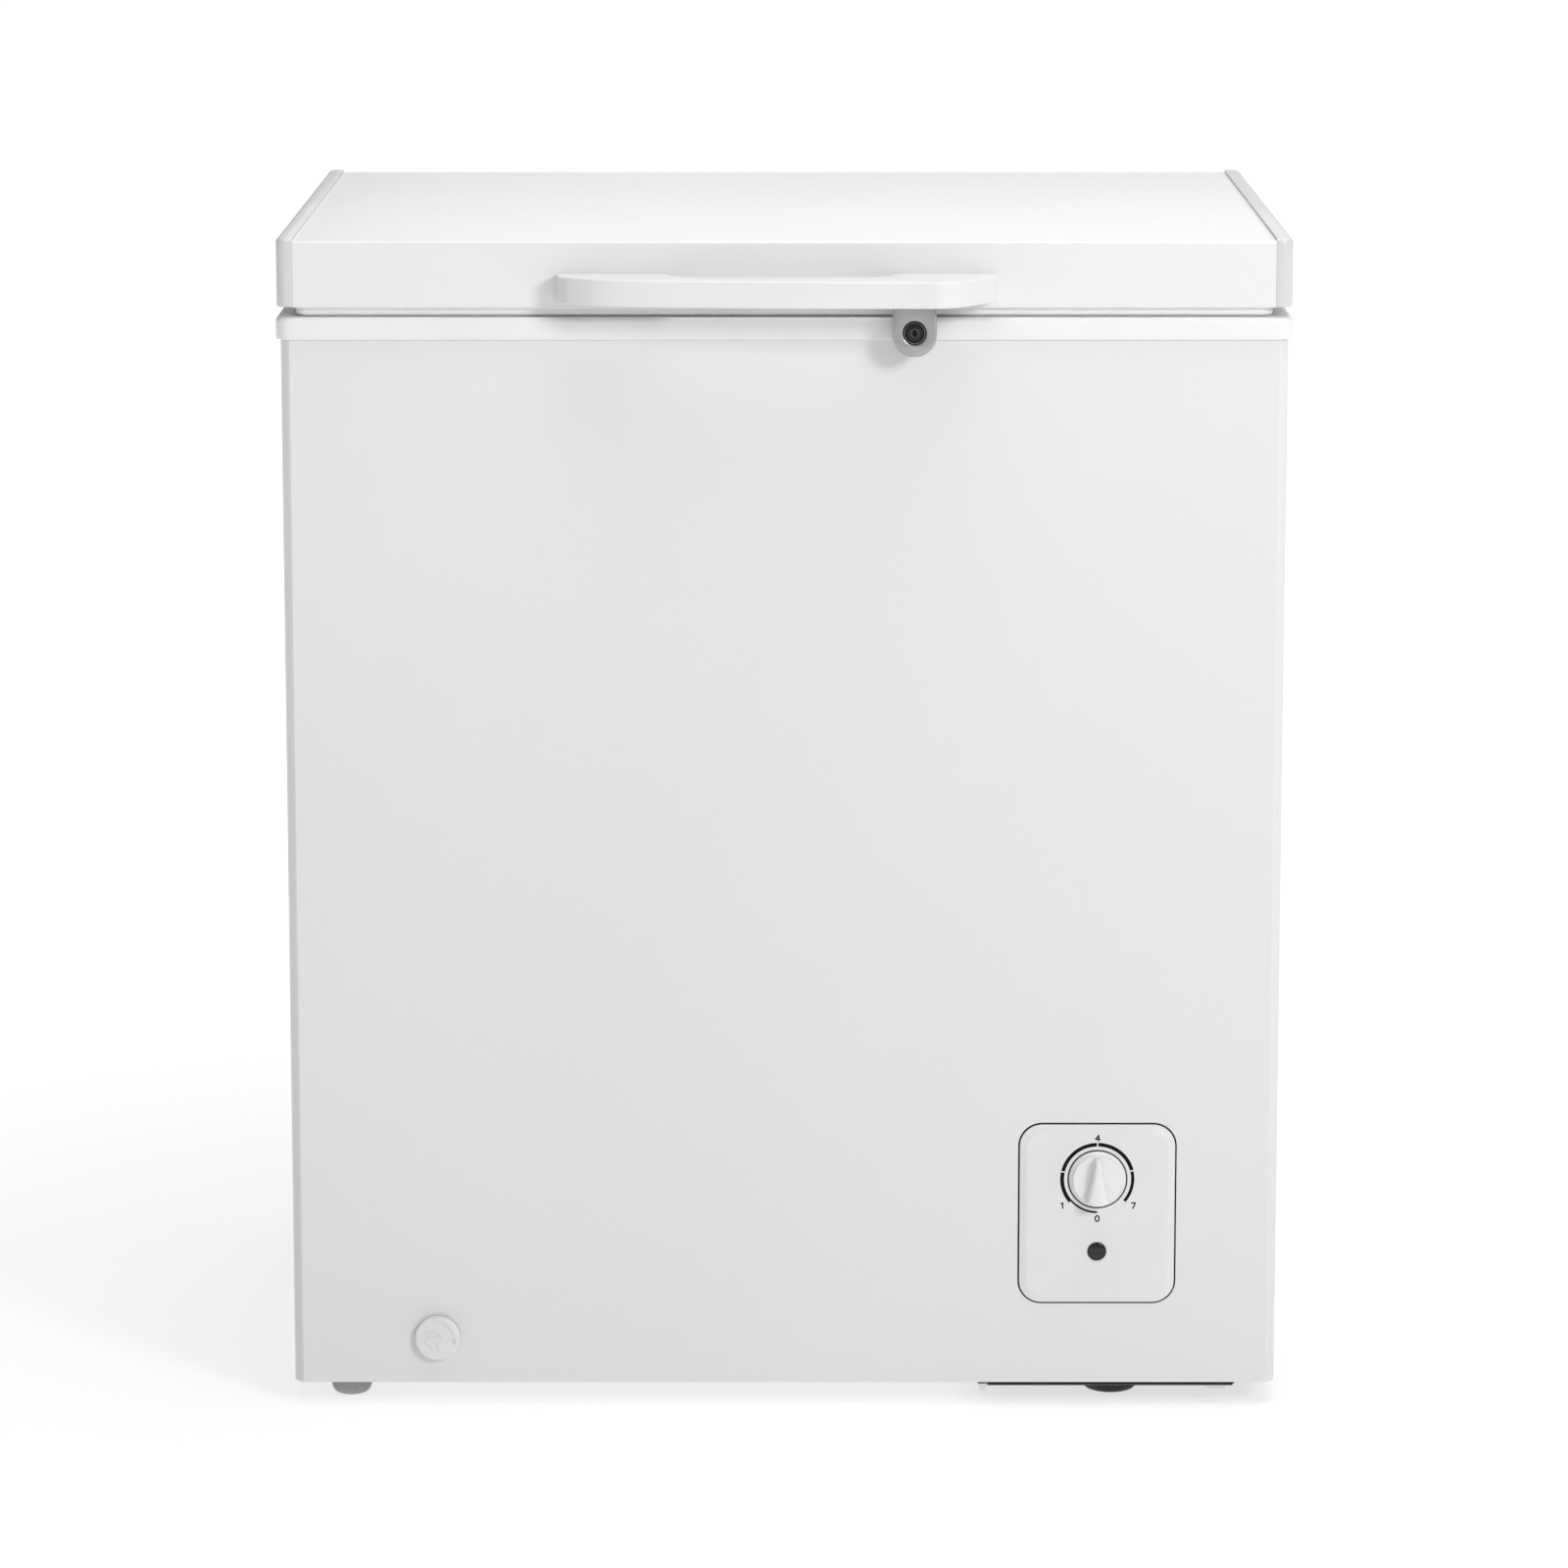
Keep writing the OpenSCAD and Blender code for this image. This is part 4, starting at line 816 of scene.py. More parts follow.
def build_inner_panel():
    lo, hi = mm("lid_inner_panel")
    w, d = hi[0] - lo[0], hi[1] - lo[1]
    pw, pd = 560.0, 392.0
    z1, zb = hi[2] - 2, lo[2]
    prof = [(w, d, 4, hi[2]), (w, d, 4, z1), (pw + 8, pd + 8, 24, z1), (pw + 2.5, pd + 2.5, 21.5, z1 - 0.8),
            (pw, pd, 20, z1 - 3.2)]
    edge = 3.5
    for u, v in quarter(5):
        k = edge * u
        prof.append((pw - 2 * k, pd - 2 * k, 20 - k, zb + edge - edge * v))
    prof += [(pw - 60, pd - 60, 16, zb), (pw - 62, pd - 62, 15, zb + 0.5), (pw - 66, pd - 66, 14, zb + 1.5),
             (pw - 68, pd - 68, 13, zb + 1.8)]
    ob = rings_object("lid_liner_moulding", prof, c=(0, MID), n=10, sharp=32)
    add(ob, "lid", "white_plastic", "plastic", "lid_inner_panel")


build_inner_panel()


def build_gasket():
    lo, hi = mm("lid_gasket")
    w, d = hi[0] - lo[0], hi[1] - lo[1]
    t, b = LID_B - 0.05, lo[2]
    side = [(0.2, t), (0, t - 0.4), (0, t - 1.6), (0.5, t - 2.0), (0.9, t - 2.3), (0.5, t - 2.7),
            (0.2, t - 3.2), (0.2, b + 2.0), (0.7, b + 1.2), (1.8, b + 0.5), (2.6, b)]
    prof = [(w - 2 * o, d - 2 * o, 8 - o * 0.3, z) for o, z in side]
    prof += [(w - 2 * (14 - o), d - 2 * (22 - o), 4 + o * 0.3, z) for o, z in reversed(side)]
    prof += [(w - 28, d - 44, 4, hi[2]), (w - 3, d - 18, 7, hi[2]), (w - 3, d - 18, 7, t)]
    ob = rings_object("lid_seal", prof, loop=True, c=(0, MID), n=6, sharp=40)
    add(ob, "lid", "gasket", "gasket", "lid_gasket")


build_gasket()

# ---- handle


def spline(points, n):
    """Catmull-Rom curve through the points, with n steps between each two."""
    out = []
    for i in range(len(points) - 1):
        p0, p1 = points[max(i - 1, 0)], points[i]
        p2, p3 = points[i + 1], points[min(i + 2, len(points) - 1)]
        for k in range(n):
            t = k / n
            out.append(tuple(0.5 * (2 * b + (c - a) * t + (2 * a - 5 * b + 4 * c - d) * t * t
                                    + (3 * b - a - 3 * c + d) * t ** 3)
                             for a, b, c, d in zip(p0, p1, p2, p3)))
    return out + [points[-1]]


REACH = LID_F - HANDLE_LO[1]
# the bow's front edge, as x and the distance in front of the lid
FRONT = [(-160, 18), (-150, 30), (-126, 44), (-90, 50.5), (-45, 54.5), (0, 57.5), (50, 60),
         (95, REACH), (111, 59.5), (124, 51), (137, 34), (149, 16)]


def inset(points, t):
    """Outline moved inwards by t along its mitred normals; the outline runs clockwise seen from above."""
    out = []
    n = len(points)
    for i in range(n):
        a, b, c = (Vector(points[k % n]) for k in (i - 1, i, i + 1))
        u, w = (b - a).normalized(), (c - b).normalized()
        m = Vector((u.y + w.y, -u.x - w.x)) / max(1 + u.dot(w), 0.4)
        out.append((b.x + m.x * t, b.y + m.y * t))
    return out


def handle_plan():
    gap = (arc(88, 13, 13, 270, 180, 10) + arc(60, 11, 15, 9, 90, 10) + arc(-65, 11, 15, 90, 171, 10)
           + arc(-93, 13, 13, 0, -90, 10))
    pts = [(-160, 0)] + spline(FRONT, 8) + [(149, 0)] + gap
    clean = [pts[0]]
    for q in pts[1:]:
        if math.dist(q, clean[-1]) > 0.05:
            clean.append(q)
    return [(x, LID_F - p) for x, p in clean]


def signed_area(points):
    return sum(a[0] * b[1] - b[0] * a[1] for a, b in zip(points, points[1:] + points[:1])) / 2


def build_handle():
    z0, z1 = HANDLE_LO[2], HANDLE_HI[2]
    plan = handle_plan()
    if signed_area(plan) > 0:
        plan.reverse()

    def at(t):
        return [(x, min(y, LID_F)) for x, y in inset(plan, t)]

    r = 1.3
    secs = [(0.4, z0), (0.0, z0 + 0.4)] + [(r * u, z1 - r + r * v) for u, v in quarter(5)]
    ob = lofted("bow_handle", [level(at(t), z) for t, z in secs], 40)
    # hollow from below, which leaves a wall all round and a top
    wall = 2.8
    core = inset(plan, wall)
    cut(ob, lofted("t", [level(core, z0 - 2), level(core, z1 - wall)], 40), 40)
    add(ob, "lid", "white_plastic", "handle", "lid_handle")


build_handle()

# ---- lock


def build_lock_tab():
    r = (TAB_HI[0] - TAB_LO[0]) / 2
    tz = TAB_LO[2] + r
    top = HANDLE_LO[2]
    yf, yb = TAB_LO[1], TAB_HI[1]
    bore = 7.95
    hole = arc(LX, LZ, bore, 0, 352.5, 47)
    face = [(LX - r, top + 0.5)] + arc(LX, tz, r, 180, 360, 36) + [(LX + r, top + 0.5)]
    front = plate("tab", [face, hole], -(yf + 3.4), -yf, 1.5, segments=4)
    # the shell behind the face: a wall that follows the tab's outline
    k = r - 0.4
    rim = [(LX - k, top)] + arc(LX, tz, k, 180, 360, 36) + [(LX + k, top)]
    k2 = k - 2.2
    inner = [(LX - k2, top - 2)] + arc(LX, tz, k2, 180, 360, 36) + [(LX + k2, top - 2)]
    skirt = plate("skirt", [rim, inner], -yb, -(yf + 2.0))
    boss = lathe("boss", [(10.5, 0), (10.5, 5), (10, 5.6)], (LX, yb, LZ), "y", 48)
    cut(boss, lathe("t", [(bore, -5), (bore, 12)], (LX, yb, LZ), "y", 48))
    tongue = brick("tongue", (LX - 12.4, yf + 0.3, top - 0.5), (LX + 12.4, yb - 0.2, TAB_HI[2] - 1.5), 0.6)
    add(join("lock_tab", [front, skirt, boss, tongue]), "lid", "grey_plastic", "housing", "lock_housing")


build_lock_tab()


def build_lock_barrel():
    y = BARREL_LO[1]
    at = (LX, y + 0.6, LZ)
    prof = [(7.8, -1.2), (7.8, 0.0), (7.5, 0.5), (7.1, 0.55), (6.8, 0.3), (6.6, -0.6), (6.4, -1.2)]
    ring = lathe("ring", prof, at, "y", 64)
    prof = [(7.78, -15.0), (7.78, -1.1), (6.3, -1.1), (5.9, -0.5), (3.9, -0.4), (3.5, -0.1), (3.2, -0.05),
            (2.9, -0.3), (2.2, -0.45), (0.01, -0.45)]
    disc = lathe("disc", prof, at, "y", 64)
    sx, sz = 0.55, 1.9
    slot = [(LX - sx, LZ - sz), (LX + sx, LZ - sz), (LX + sx, LZ + sz), (LX - sx, LZ + sz)]
    cut(disc, plate("t", [slot], -(y + 4.0), -(y - 1.0)))
    add(disc, "lock_cylinder", "lock_black", "lock", "lock_barrel")
    prof = [(3.2, -0.5), (3.2, -0.02), (2.9, 0.2), (2.6, 0.15), (2.4, -0.1), (2.4, -0.5)]
    key = lathe("key", prof, at, "y", 48)
    add(join("lock_barrel_rings", [ring, key], 34), "lock_cylinder", "lock_black", "chrome")


build_lock_barrel()

# ---- control panel


def sector(cx, cz, r0, r1, a0, a1, n=40):
    """Ring sector; angles run clockwise from the top."""
    def at(r, a):
        return (cx + r * sin(rad(a)), cz + r * cos(rad(a)))
    return ([at(r1, a0 + (a1 - a0) * i / n) for i in range(n + 1)]
            + [at(r0, a1 + (a0 - a1) * i / n) for i in range(n + 1)])


STROKES = {
    "0": [[(1, 0), (0, 1.2), (0, 3.8), (1, 5), (2.2, 5), (3.2, 3.8), (3.2, 1.2), (2.2, 0), (1, 0)]],
    "1": [[(0.2, 4.1), (1.6, 5), (1.6, 0)]], "4": [[(2.6, 0), (2.6, 5), (0, 1.5), (3.6, 1.5)]],
    "7": [[(0, 5), (3.2, 5), (1.2, 0)]],
}
WIDTH = {"0": 3.2, "1": 1.9, "4": 3.6, "7": 3.2}


def dark_patch(name, outline, y):
    """A flat dark patch on the front face at y, for print and for painted shade."""
    return plate(name, [outline], -(y + 0.05), -(y - 0.06))


def numeral(digit, cx, cz, height, weight, y):
    """A plain stroke number for a scale, as flat strips of ink."""
    s = height / 5
    x = cx / s - WIDTH[digit] / 2
    parts = []
    for line in STROKES[digit]:
        pts = [(s * (x + a), cz - height / 2 + s * b) for a, b in line]
        for p, q in zip(pts, pts[1:]):
            d = Vector((q[0] - p[0], q[1] - p[1])).normalized()
            n = Vector((-d.y, d.x)) * weight / 2
            e = d * weight * 0.4
            quad = [(p[0] + n.x - e.x, p[1] + n.y - e.y), (q[0] + n.x + e.x, q[1] + n.y + e.y),
                    (q[0] - n.x + e.x, q[1] - n.y + e.y), (p[0] - n.x - e.x, p[1] - n.y - e.y)]
            parts.append(dark_patch("l", quad, y))
    return parts


def build_panel():
    w, h = PANEL_HI[0] - PANEL_LO[0], PANEL_HI[2] - PANEL_LO[2]
    yf = PANEL_LO[1]
    c = (PX, PZ)
    sharp = 28
    # set in from the outline, y, corner radius
    secs = [(0.0, CAB_F - 0.02, 16), (0.0, CAB_F - 0.9, 16), (0.35, CAB_F - 1.25, 15.7),
            (1.0, CAB_F - 1.35, 15.2), (3.4, CAB_F - 2.25, 13.6), (4.4, CAB_F - 2.75, 12.8),
            (5.2, CAB_F - 2.95, 12.2), (6.2, yf, 11.6)]
    rings = [[(x, y, z) for x, z in rrect(w - 2 * t, h - 2 * t, r, c, 12)] for t, y, r in secs]
    v, f = loft(rings, cap_start=False)
    f.append(tuple(range(len(rings[0]))))
    face = mesh_object("face", v, f, sharp)
    well_r, lens_r = 21.2, 6.95
    cut(face, lathe("t", [(well_r, -2), (well_r, 20)], (KX, CAB_F - 1.3, KZ), "y", 96), sharp)
    cut(face, lathe("t", [(lens_r, -20), (lens_r, 20)], (PX, CAB_F, PZ - 27.8), "y", 64), sharp)
    prof = [(well_r + 0.4, -0.5), (well_r + 0.4, 0.55), (well_r, 0.6), (well_r, 0.0), (5.3, 0.0), (5.3, -0.5)]
    well = lathe("well", prof, (KX, CAB_F - 1.2, KZ), "y", 96)
    box = plate("box", [rrect(96, 116, 8, c), rrect(91, 111, 6, c)], -(CAB_F + 26), -(CAB_F + 0.3))
    add(join("control_plate", [face, box], sharp), "cabinet", "white_plastic", "plastic", "control_panel")
    add(well, "cabinet", "white_plastic", "plastic")
    # painted shadow: a dark ring where the plate meets the sheet, standing in for the shade in the gap
    gap = plate("gap", [rrect(w + 2.4, h + 2.4, 17.2, c, 12), rrect(w - 0.4, h - 0.4, 15.8, c, 12)],
                -(CAB_F + 0.1), -(CAB_F - 0.12))
    add(gap, "cabinet", "white_plastic", "groove")
    # the scale's bars, and last a painted shadow: the dark ring round the knob, over the gap between knob and
    # well. Each: two radii, two angles
    bars = ((24.3, 27.0, -76.8, -1.2), (24.3, 27.0, 1.0, 75.0), (24.2, 27.0, -130.5, -79.0),
            (24.4, 26.7, 77.2, 129.8), (24.0, 25.4, -180, -130.5), (20.9, 21.8, -180, 179.9))
    print_and_shade = [dark_patch("i", sector(KX, KZ, *bar), yf) for bar in bars]
    for digit, dx, dz in (("4", 0, 30.6), ("1", -25.6, -19.8), ("7", 26.2, -19.8), ("0", 0, -29.4)):
        print_and_shade += numeral(digit, KX + dx, KZ + dz, 4.1, 0.95, yf)
    add(join("control_print_and_shade", print_and_shade), "cabinet", "white_plastic", "print_and_shade")


build_panel()


def build_knob():
    y = KNOB_HI[1]
    prof = [(20.4, 0), (20.75, 0.3), (20.75, 2.2), (20.2, 3.3), (18.9, 4.2), (18.45, 4.6), (18.3, 6.0),
            (17.6, 6.8), (0.01, 6.9)]
    base = lathe("base", prof, (KX, y, KZ), "y", 96, 34)
    top = KNOB_HI[1] - KNOB_LO[1]
    # wedge grip: slim at the pointer, wide at the foot, its flanks leaning in
    half = [(1.1, 17.6), (2.3, 17.0), (3.2, 10), (5.2, 0), (7.4, -9), (9.2, -14.2), (8.6, -15.7),
            (5.0, -17.4), (2.0, -17.9)]
    # height, share of the width, how much shorter at each end
    secs = [(6.5, 1.0, 0.0), (9.5, 0.92, 0.15), (12.5, 0.84, 0.35), (14.8, 0.77, 0.7), (15.9, 0.66, 1.3),
            (top - 0.05, 0.42, 2.6)]
    rings = []
    for h, k, end in secs:
        pts = [(x * k, z - math.copysign(end, z) if abs(z) > 5 else z) for x, z in half]
        pts = pts + [(-x, z) for x, z in reversed(pts)]
        rings.append([(KX + x, y - h, KZ + z) for x, z in pts])
    grip = lofted("grip", rings, 38)
    bevel(grip, 0.7, 3, 30, 50)
    knob = join("thermostat_dial_knob", [base, grip], 36)
    add(knob, "thermostat_dial", "white_plastic", "knob", "thermostat_knob")


build_knob()


def build_lens():
    x, _, z = middle(*mm("indicator_lens"))
    r, rise = 6.8, 1.55
    prof = [(r, -8), (r, 0.4)]
    for deg in range(10, 90, 10):
        a = rad(deg)
        prof.append((r * cos(a), 0.4 + rise * sin(a)))
    lens = lathe("indicator_dome", prof + [(0.01, 1.97)], (x, PANEL_LO[1], z), "y", 64)
    add(lens, "cabinet", "lens", "lens", "indicator_lens")


build_lens()

# ---- drain dial and spout


def build_drain():
    y, thick = CAB_F - 0.8, 5.2
    prof = [(6.9, -10), (6.95, -9.4), (6.95, 0), (15.4, 0), (16.1, 0.3), (16.3, 1.0), (16.3, 3.6),
            (16.0, 4.5), (15.2, 5.05), (14.2, thick), (0.01, thick)]
    body = lathe("dial", prof, (DX, y, DZ), "y", 96, 34)
    yf = y - thick

    def strip(pts, w, h=0.75):
        """A raised line w wide along the points, as embossed in the dial's face."""
        n = len(pts)
        left, right = [], []
        for i, p in enumerate(pts):
            a, b = pts[max(i - 1, 0)], pts[min(i + 1, n - 1)]
            d = Vector((b[0] - a[0], b[1] - a[1])).normalized()
            left.append((DX + p[0] - d.y * w / 2, DZ + p[1] + d.x * w / 2))
            right.append((DX + p[0] + d.y * w / 2, DZ + p[1] - d.x * w / 2))
        return plate("m", [left + right[::-1]], -(yf + 0.3), -(yf - h + 0.15), 0.28, segments=2)

    marks = [strip(arc(0, 0, 12.4, 98, 12, 14), 1.3)]
    for line in ([(10.9, -0.4), (12.9, -3.6), (14.2, 0.9)],
                 [(-8.6, 4.6), (-3.6, 5.4), (0.6, 4.6), (2.8, 2.0)],
                 [(-9.4, -0.6), (-5.9, -5.0), (-3.6, -8.2)],
                 [(-8.0, 0.6), (-1.0, 0.9), (3.4, 0.2)],
                 [(-0.6, -4.0), (1.8, -9.4)]):
        marks.append(strip(line, 1.1))
    add(join("drain_outlet_dial", [body] + marks, 34), "drain_cap", "white_plastic", "plastic", "drain_dial")


build_drain()

# ---- feet and base plate


def fluted_feet(name, node, prof, flutes, depth):
    """A front and a rear foot; prof: (radius less than the widest, z, share of the flute's depth)."""
    lo, hi = mm(node)
    r = (hi[0] - lo[0]) / 2
    cx = (lo[0] + hi[0]) / 2
    n = flutes * 6
    feet = []
    for cy in (lo[1] + r, hi[1] - r):
        rings = []
        for less, z, share in prof:
            ring = []
            for i in range(n):
                a = 2 * pi * i / n
                q = r - less - depth * share * (0.5 - 0.5 * cos(flutes * a))
                ring.append((cx + q * cos(a), cy + q * sin(a), z))
            rings.append(ring)
        feet.append(lofted("f", rings, 40))
    return join(name, feet, 40)


def build_feet():
    top = mm("cabinet_feet")[1][2]
    prof = [(6, 0, 0), (4.6, 0.25, 0.2), (2.6, 1.4, 0.6), (1.0, 3.4, 1), (0.2, 6.0, 1), (0, 8.5, 1),
            (0, 13.6, 1), (0.2, 14.0, 0.2), (0.2, top, 0)]
    feet = fluted_feet("ribbed_feet", "cabinet_feet", prof, 30, 0.8)
    add(feet, "cabinet", "grey_plastic", "foot_grey", "cabinet_feet")
    top = mm("base_plate_feet")[1][2]
    prof = [(10, 0, 0), (5.5, 0.15, 0), (3.2, 1.0, 0), (1.7, 2.4, 0), (0.9, 4.2, 0.3), (0.5, 6.2, 1),
            (0.3, 7.4, 1), (0.1, 12.4, 1), (0, 13.2, 0), (0, top, 0)]
    feet = fluted_feet("round_black_feet", "base_plate_feet", prof, 36, 0.9)
    add(feet, "cabinet", "black_plastic", "black", "base_plate_feet")


build_feet()


def build_hooks():
    """The two tabs bent down at the base plate's front corners, left bright where the plate is dark."""
    lo, hi = mm("compressor_base_plate")
    # just behind the cabinet's front, at its lower edge
    y, z = CAB_F + 2.5, 16.5
    x0, x1 = lo[0], hi[0]
    left = [(x0, z - 1.4), (x0 + 1, z - 4.5), (x0 + 3, z - 8), (x0 + 5, z - 6.6), (x0 + 8, z - 1.4)]
    right = [(x1 - 24, z - 1.4), (x1 - 20, z - 4.8), (x1 - 17, z - 5.5), (x1 - 10, z - 5.5),
             (x1 - 7, z - 4.8), (x1 - 4, z - 1.4)]
    parts = [plate("h", [p], -y, -(y - 0.5), 0.2, segments=2) for p in (left, right)]
    add(join("base_plate_tabs", parts), "cabinet", "zinc_steel", "zinc")
    # a dark strip along the plate's front edge and below it: partly the plate's dark paint, partly painted
    # shadow under the cabinet's lower edge
    lip = brick("base_plate_lip_and_shadow", (lo[0] + 7, y - 1.2, z - 2.9), (hi[0] - 1, y - 0.2, z - 0.1), 0.2)
    add(lip, "cabinet", "zinc_steel", "dark_plate")


build_hooks()

# ---- basket


def build_basket():
    lo, hi = mm("basket_wires")
    cx, cy, _ = middle(lo, hi)
    half = (hi[0] - lo[0]) / 2 - 2.5
    rail_y = (hi[1] - lo[1]) / 2 - 2.5
    leg_y = rail_y - 11
    rim = hi[2] - 2.5
    floor = lo[2] + 1.5
    c = (cx, cy)
    wire_r, rim_r, band_r = 1.5, 2.4, 1.4
    parts = [tube("rim", level(rrect(2 * half, 2 * rail_y, 9, c), rim), rim_r, 12, closed=True)]
    hoops, runs = 5, 9
    for i in range(hoops):
        x = cx - half + i * 2 * half / (hoops - 1)
        x += 1.6 if i == 0 else (-1.6 if i == hoops - 1 else 0)
        pts = [(x, cy - rail_y + 1, rim - 0.5), (x, cy - leg_y, rim - 0.5), (x, cy - leg_y, floor),
               (x, cy + leg_y, floor), (x, cy + leg_y, rim - 0.5), (x, cy + rail_y - 1, rim - 0.5)]
        parts.append(tube("u", rounded_path(pts, 8), wire_r, 10))
    for i in range(1, runs + 1):
        y = cy - leg_y + i * 2 * leg_y / (runs + 1)
        x, z = half - 0.4, floor + 2.2
        pts = [(cx - x, y, rim), (cx - x, y, z), (cx + x, y, z), (cx + x, y, rim)]
        parts.append(tube("v", rounded_path(pts, 8), wire_r, 10))
    band = rrect(2 * half - 2.4, 2 * leg_y - 2.4, 8, c)
    for k in (0.36, 0.68):
        parts.append(tube("band", level(band, floor + 1.5 + 175 * k), band_r, 10, closed=True))
    add(join("basket_wirework", parts, 50), "basket", "wire_white", "wire", "basket_wires")
    # along the grip and its radius there, thicker at the ends
    prof = ((-30, 3.2), (-29.4, 3.9), (-28, 4.15), (-20, 4.15), (-18, 3.95), (18, 3.95), (20, 4.15),
            (28, 4.15), (29.4, 3.9), (30, 3.2))
    grips = []
    for sx in (-1, 1):
        for sy in (-1, 1):
            gx, gy = cx + sx * half, cy + sy * leg_y * 0.45
            rings = []
            for t, w in prof:
                rings.append([(gx + w * cos(rad(a)), gy + t, rim + w * 0.88 * sin(rad(a)))
                              for a in range(0, 360, 15)])
            grips.append(lofted("g", rings, 40))
    add(join("basket_moulded_grips", grips, 40), "basket", "grey_plastic", "foot_grey", "basket_grips")


build_basket()

# ---- floor drain plug


def build_floor_plug():
    cx, cy, _ = middle(*mm("floor_drain_plug"))
    # the liner's floor, which the plug's flange lies on
    z = 72.0
    prof = [(6.4, -11), (7.6, -10.2), (7.9, -8.5), (7.2, -7.8), (7.9, -6.6), (7.2, -5.8), (7.9, -4.6),
            (7.9, 0.1), (12.0, 0.1), (12.5, 0.5), (12.4, 1.6), (11.4, 2.4), (4, 2.8), (0.01, 2.8)]
    body = lathe("b", prof, (cx, cy, z), "z", 48)
    bend = [(cx - 4.6, cy, z + 2), (cx - 4.8, cy, z + 13.6), (cx + 4.8, cy, z + 13.6), (cx + 4.6, cy, z + 2)]
    loop = tube("l", rounded_path(bend, 5), 1.35, 10)
    plug = join("floor_plug_stopper", [body, loop], 36)
    add(plug, "floor_plug", "grey_plastic", "foot_grey", "floor_drain_plug")


build_floor_plug()

# ---- compressor


def build_compressor():
    lo, hi = mm("compressor_shell")
    cx, cy, _ = middle(lo, hi)
    z = lo[2] - 10
    # width, depth, corner radius and height of each ring, from the pan over the seam to the dome
    rings = [(60, 100, 28, 13.8), (96, 138, 44, 14.4), (112, 154, 51, 18), (124, 166, 57, 25),
           (133, 175, 62, 36), (136, 178, 63.5, 50), (136, 178, 63.5, 81.6), (143.6, 185.6, 67.6, 82.2),
           (144, 186, 68, 83), (144, 186, 68, 87.2), (143.4, 185.4, 67.6, 88), (135, 177, 63.2, 88.6),
           (134, 176, 63, 100), (134, 176, 63, 116), (131, 173, 61.5, 126), (124, 166, 58, 136),
           (111, 153, 51, 145), (92, 132, 43, 151), (66, 104, 31, 153.6), (30, 66, 14, 154)]
    prof = [(w, d, r, z + h) for w, d, r, h in rings]
    body = rings_object("b", prof, c=(cx, cy), n=12, sharp=38)
    feet = []
    for dy in (-1, 1):
        y = cy + dy * 98
        feet.append(brick("f", (cx - 72, y - 14, z + 10), (cx + 72, y + 14, z + 12.5), 0.8))
        feet.append(brick("f", (cx - 30, y - dy * 28 - 20, z + 10), (cx + 30, y - dy * 28 + 20, z + 24), 2.0))
    can = join("compressor_can", [body] + feet, 38)
    add(can, "cabinet", "compressor_black", "enamel", "compressor_shell")


build_compressor()

# the CAD nodes that stay as they are and only get a material
KEPT_NODES = {
    "zinc": ("bottom_panel", "thermostat_body", "hinge_cabinet_leaves", "hinge_lid_leaves"),
    "foam": ("foam_insulation", "lid_foam"),
    "copper": ("condenser_coil", "suction_pipe", "discharge_pipe", "filter_drier", "capillary_tube",
               "thermostat_capillary"),
    "steel": ("thermostat_shaft", "lock_strike", "hinge_pins", "lock_cam"),
    "black": ("compressor_terminal_box", "mains_cord_gland"),
    "plastic": ("indicator_lamp", "drain_pipe", "drain_spout"),
    "screw": ("compressor_bolts", "handle_screws"),
    "tube": ("evaporator_coil",),
    "dark_plate": ("compressor_base_plate",),
    "iron": ("compressor_pump_unit",),
    "rubber": ("compressor_grommets",),
    "cable": ("wiring_harness",),
}
for mat, nodes in KEPT_NODES.items():
    for node in nodes:
        finish_node(node, mat)

# ---- floor, lights, camera


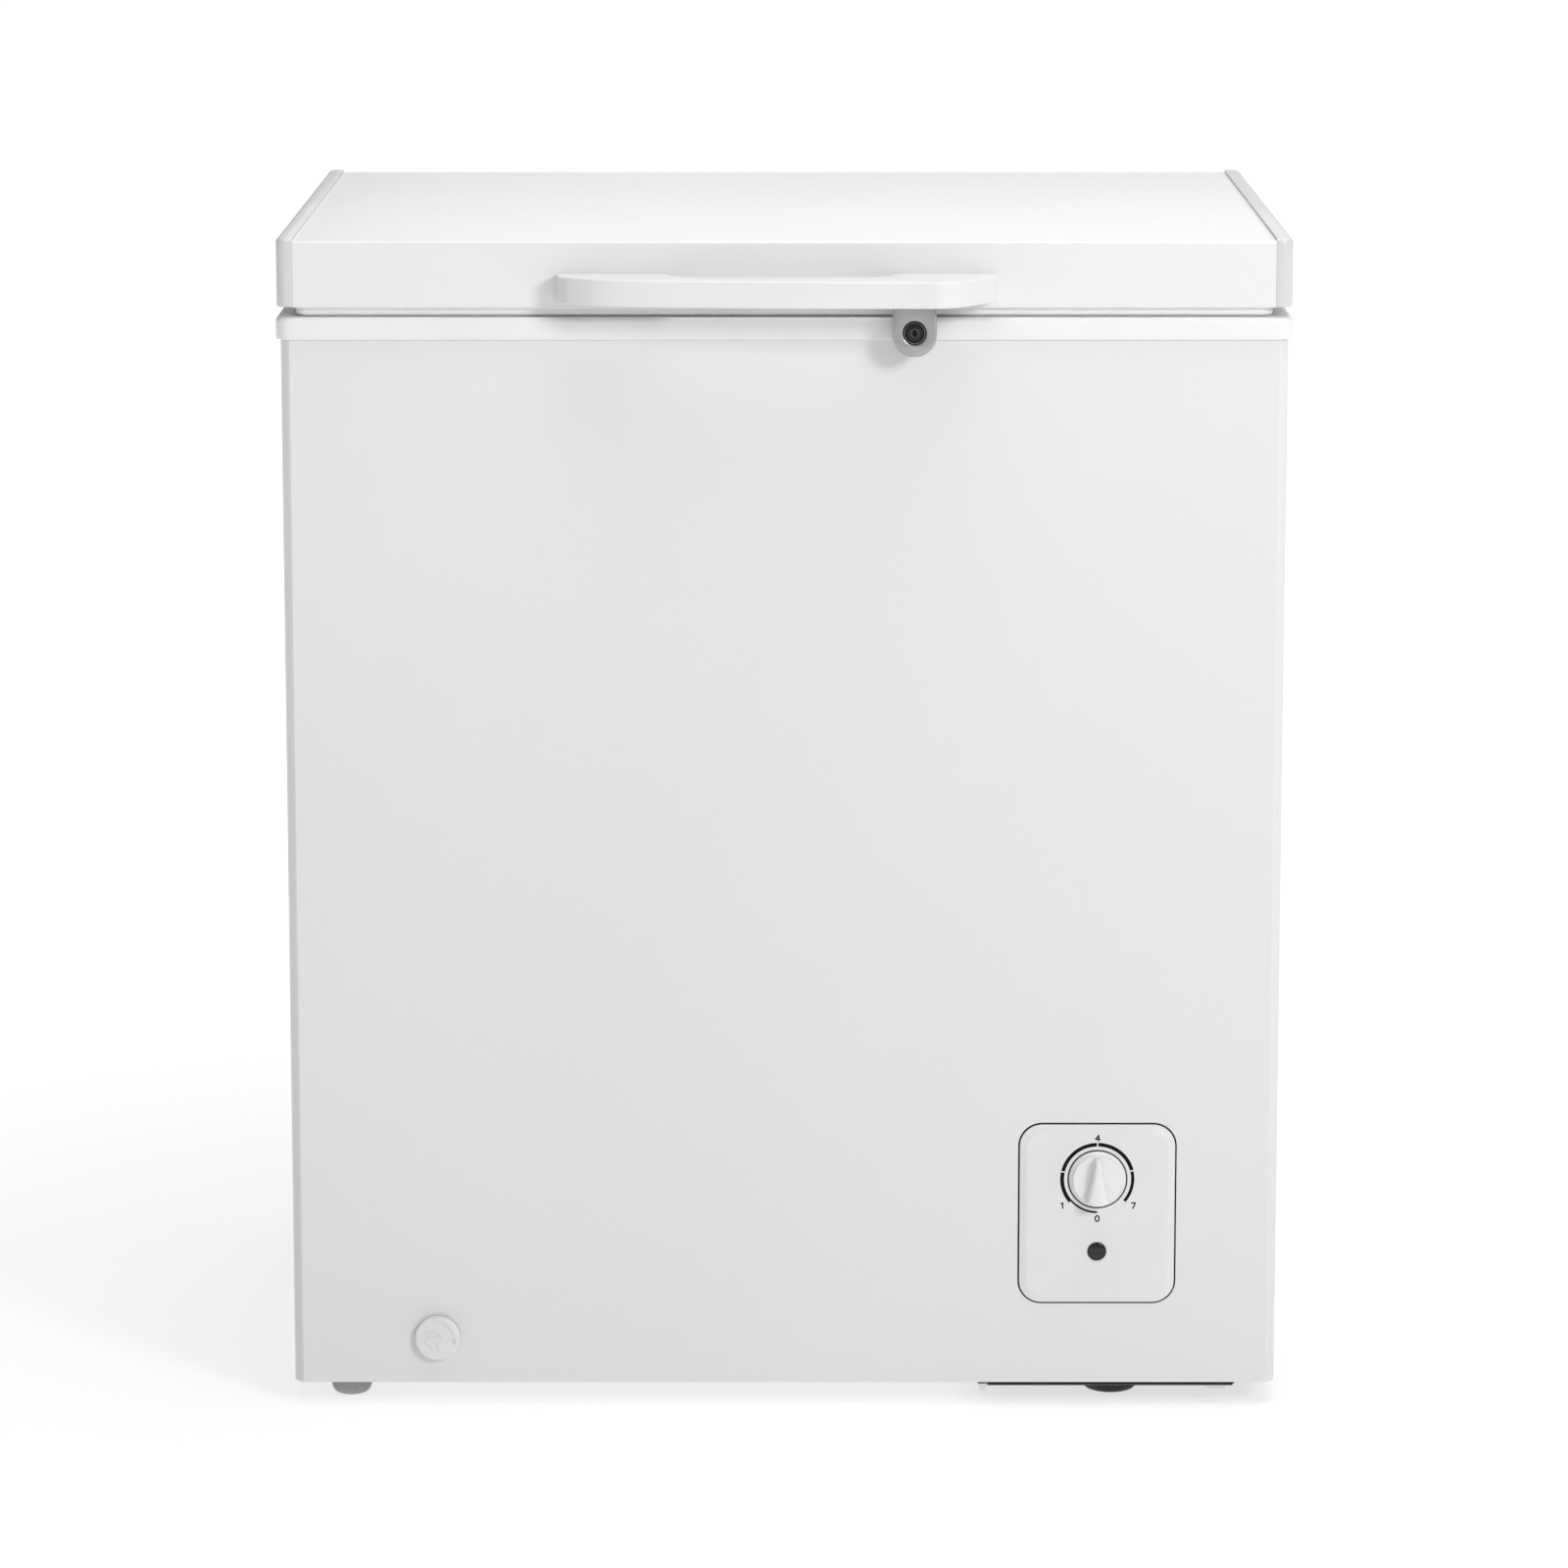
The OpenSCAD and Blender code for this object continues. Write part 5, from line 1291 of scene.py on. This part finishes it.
def stage_floor():
    me = bpy.data.meshes.new("studio_floor")
    e = 40
    me.from_pydata([(-e, -e, 0), (e, -e, 0), (e, e, 0), (-e, e, 0)], [], [(0, 1, 2, 3)])
    ob = link("studio_floor", me)
    g = Graph("floor_white").set(Roughness=0.85, Specular_IOR_Level=0.1, Emission_Color=(1, 1, 1, 1))
    g.to(g.ramp(g.noise(0.6, 3), [(0.3, (0.36, 0.36, 0.36)), (0.7, (0.37, 0.37, 0.37))]), "Base Color")
    # the floor near the object is lit by the lamps, so it glows less there than it does far away
    far = g.node("VectorMath")
    far.operation = "LENGTH"
    g.wire(g.coord, far.inputs[0])
    g.to(g.span(far.outputs["Value"], 0.7, 2.6, 0.69, 0.97), "Emission Strength")
    me.materials.append(g.mat)


stage_floor()


def area(name, loc, target, size, power):
    data = bpy.data.lights.new(name, "AREA")
    data.shape = "RECTANGLE"
    data.size, data.size_y = size
    data.energy = power
    ob = link(name, data)
    ob.location = loc
    ob.rotation_euler = (Vector(target) - Vector(loc)).to_track_quat("-Z", "Y").to_euler()


area("key", (2.0, -2.9, 2.0), (0.2, -0.2, 0.6), (0.8, 0.8), 56)
area("fill", (-2.6, -3.4, 1.6), (0, -0.2, 0.5), (2.0, 2.0), 5)
area("top", (0.3, -0.2, 3.2), (0, 0, 0.85), (2.4, 2.4), 56)
area("rear", (0.6, 3.4, 2.2), (0, 0.2, 0.5), (2.6, 2.0), 14)

world = bpy.data.worlds.new("studio")
world.use_nodes = True
sky = world.node_tree.nodes["Background"]
sky.inputs["Color"].default_value = (1, 1, 1, 1)
sky.inputs["Strength"].default_value = 0.30
SCENE.world = world
SCENE.view_settings.view_transform = "Standard"

cam_data = bpy.data.cameras.new("camera")
cam = link("camera", cam_data)
cam_data.sensor_width = 36
cam_data.lens = 146.7
cam_data.clip_end = 100
# 4.5 m in front of the lid, above its top, and tilted down
CAM_AWAY, CAM_HEIGHT, CAM_TILT = 4.5, 1.298, 0.184
cam.location = (-0.0003, LID_F * MM - CAM_AWAY, CAM_HEIGHT)
cam.rotation_euler = (rad(90) - CAM_TILT, 0, 0)
SCENE.camera = cam
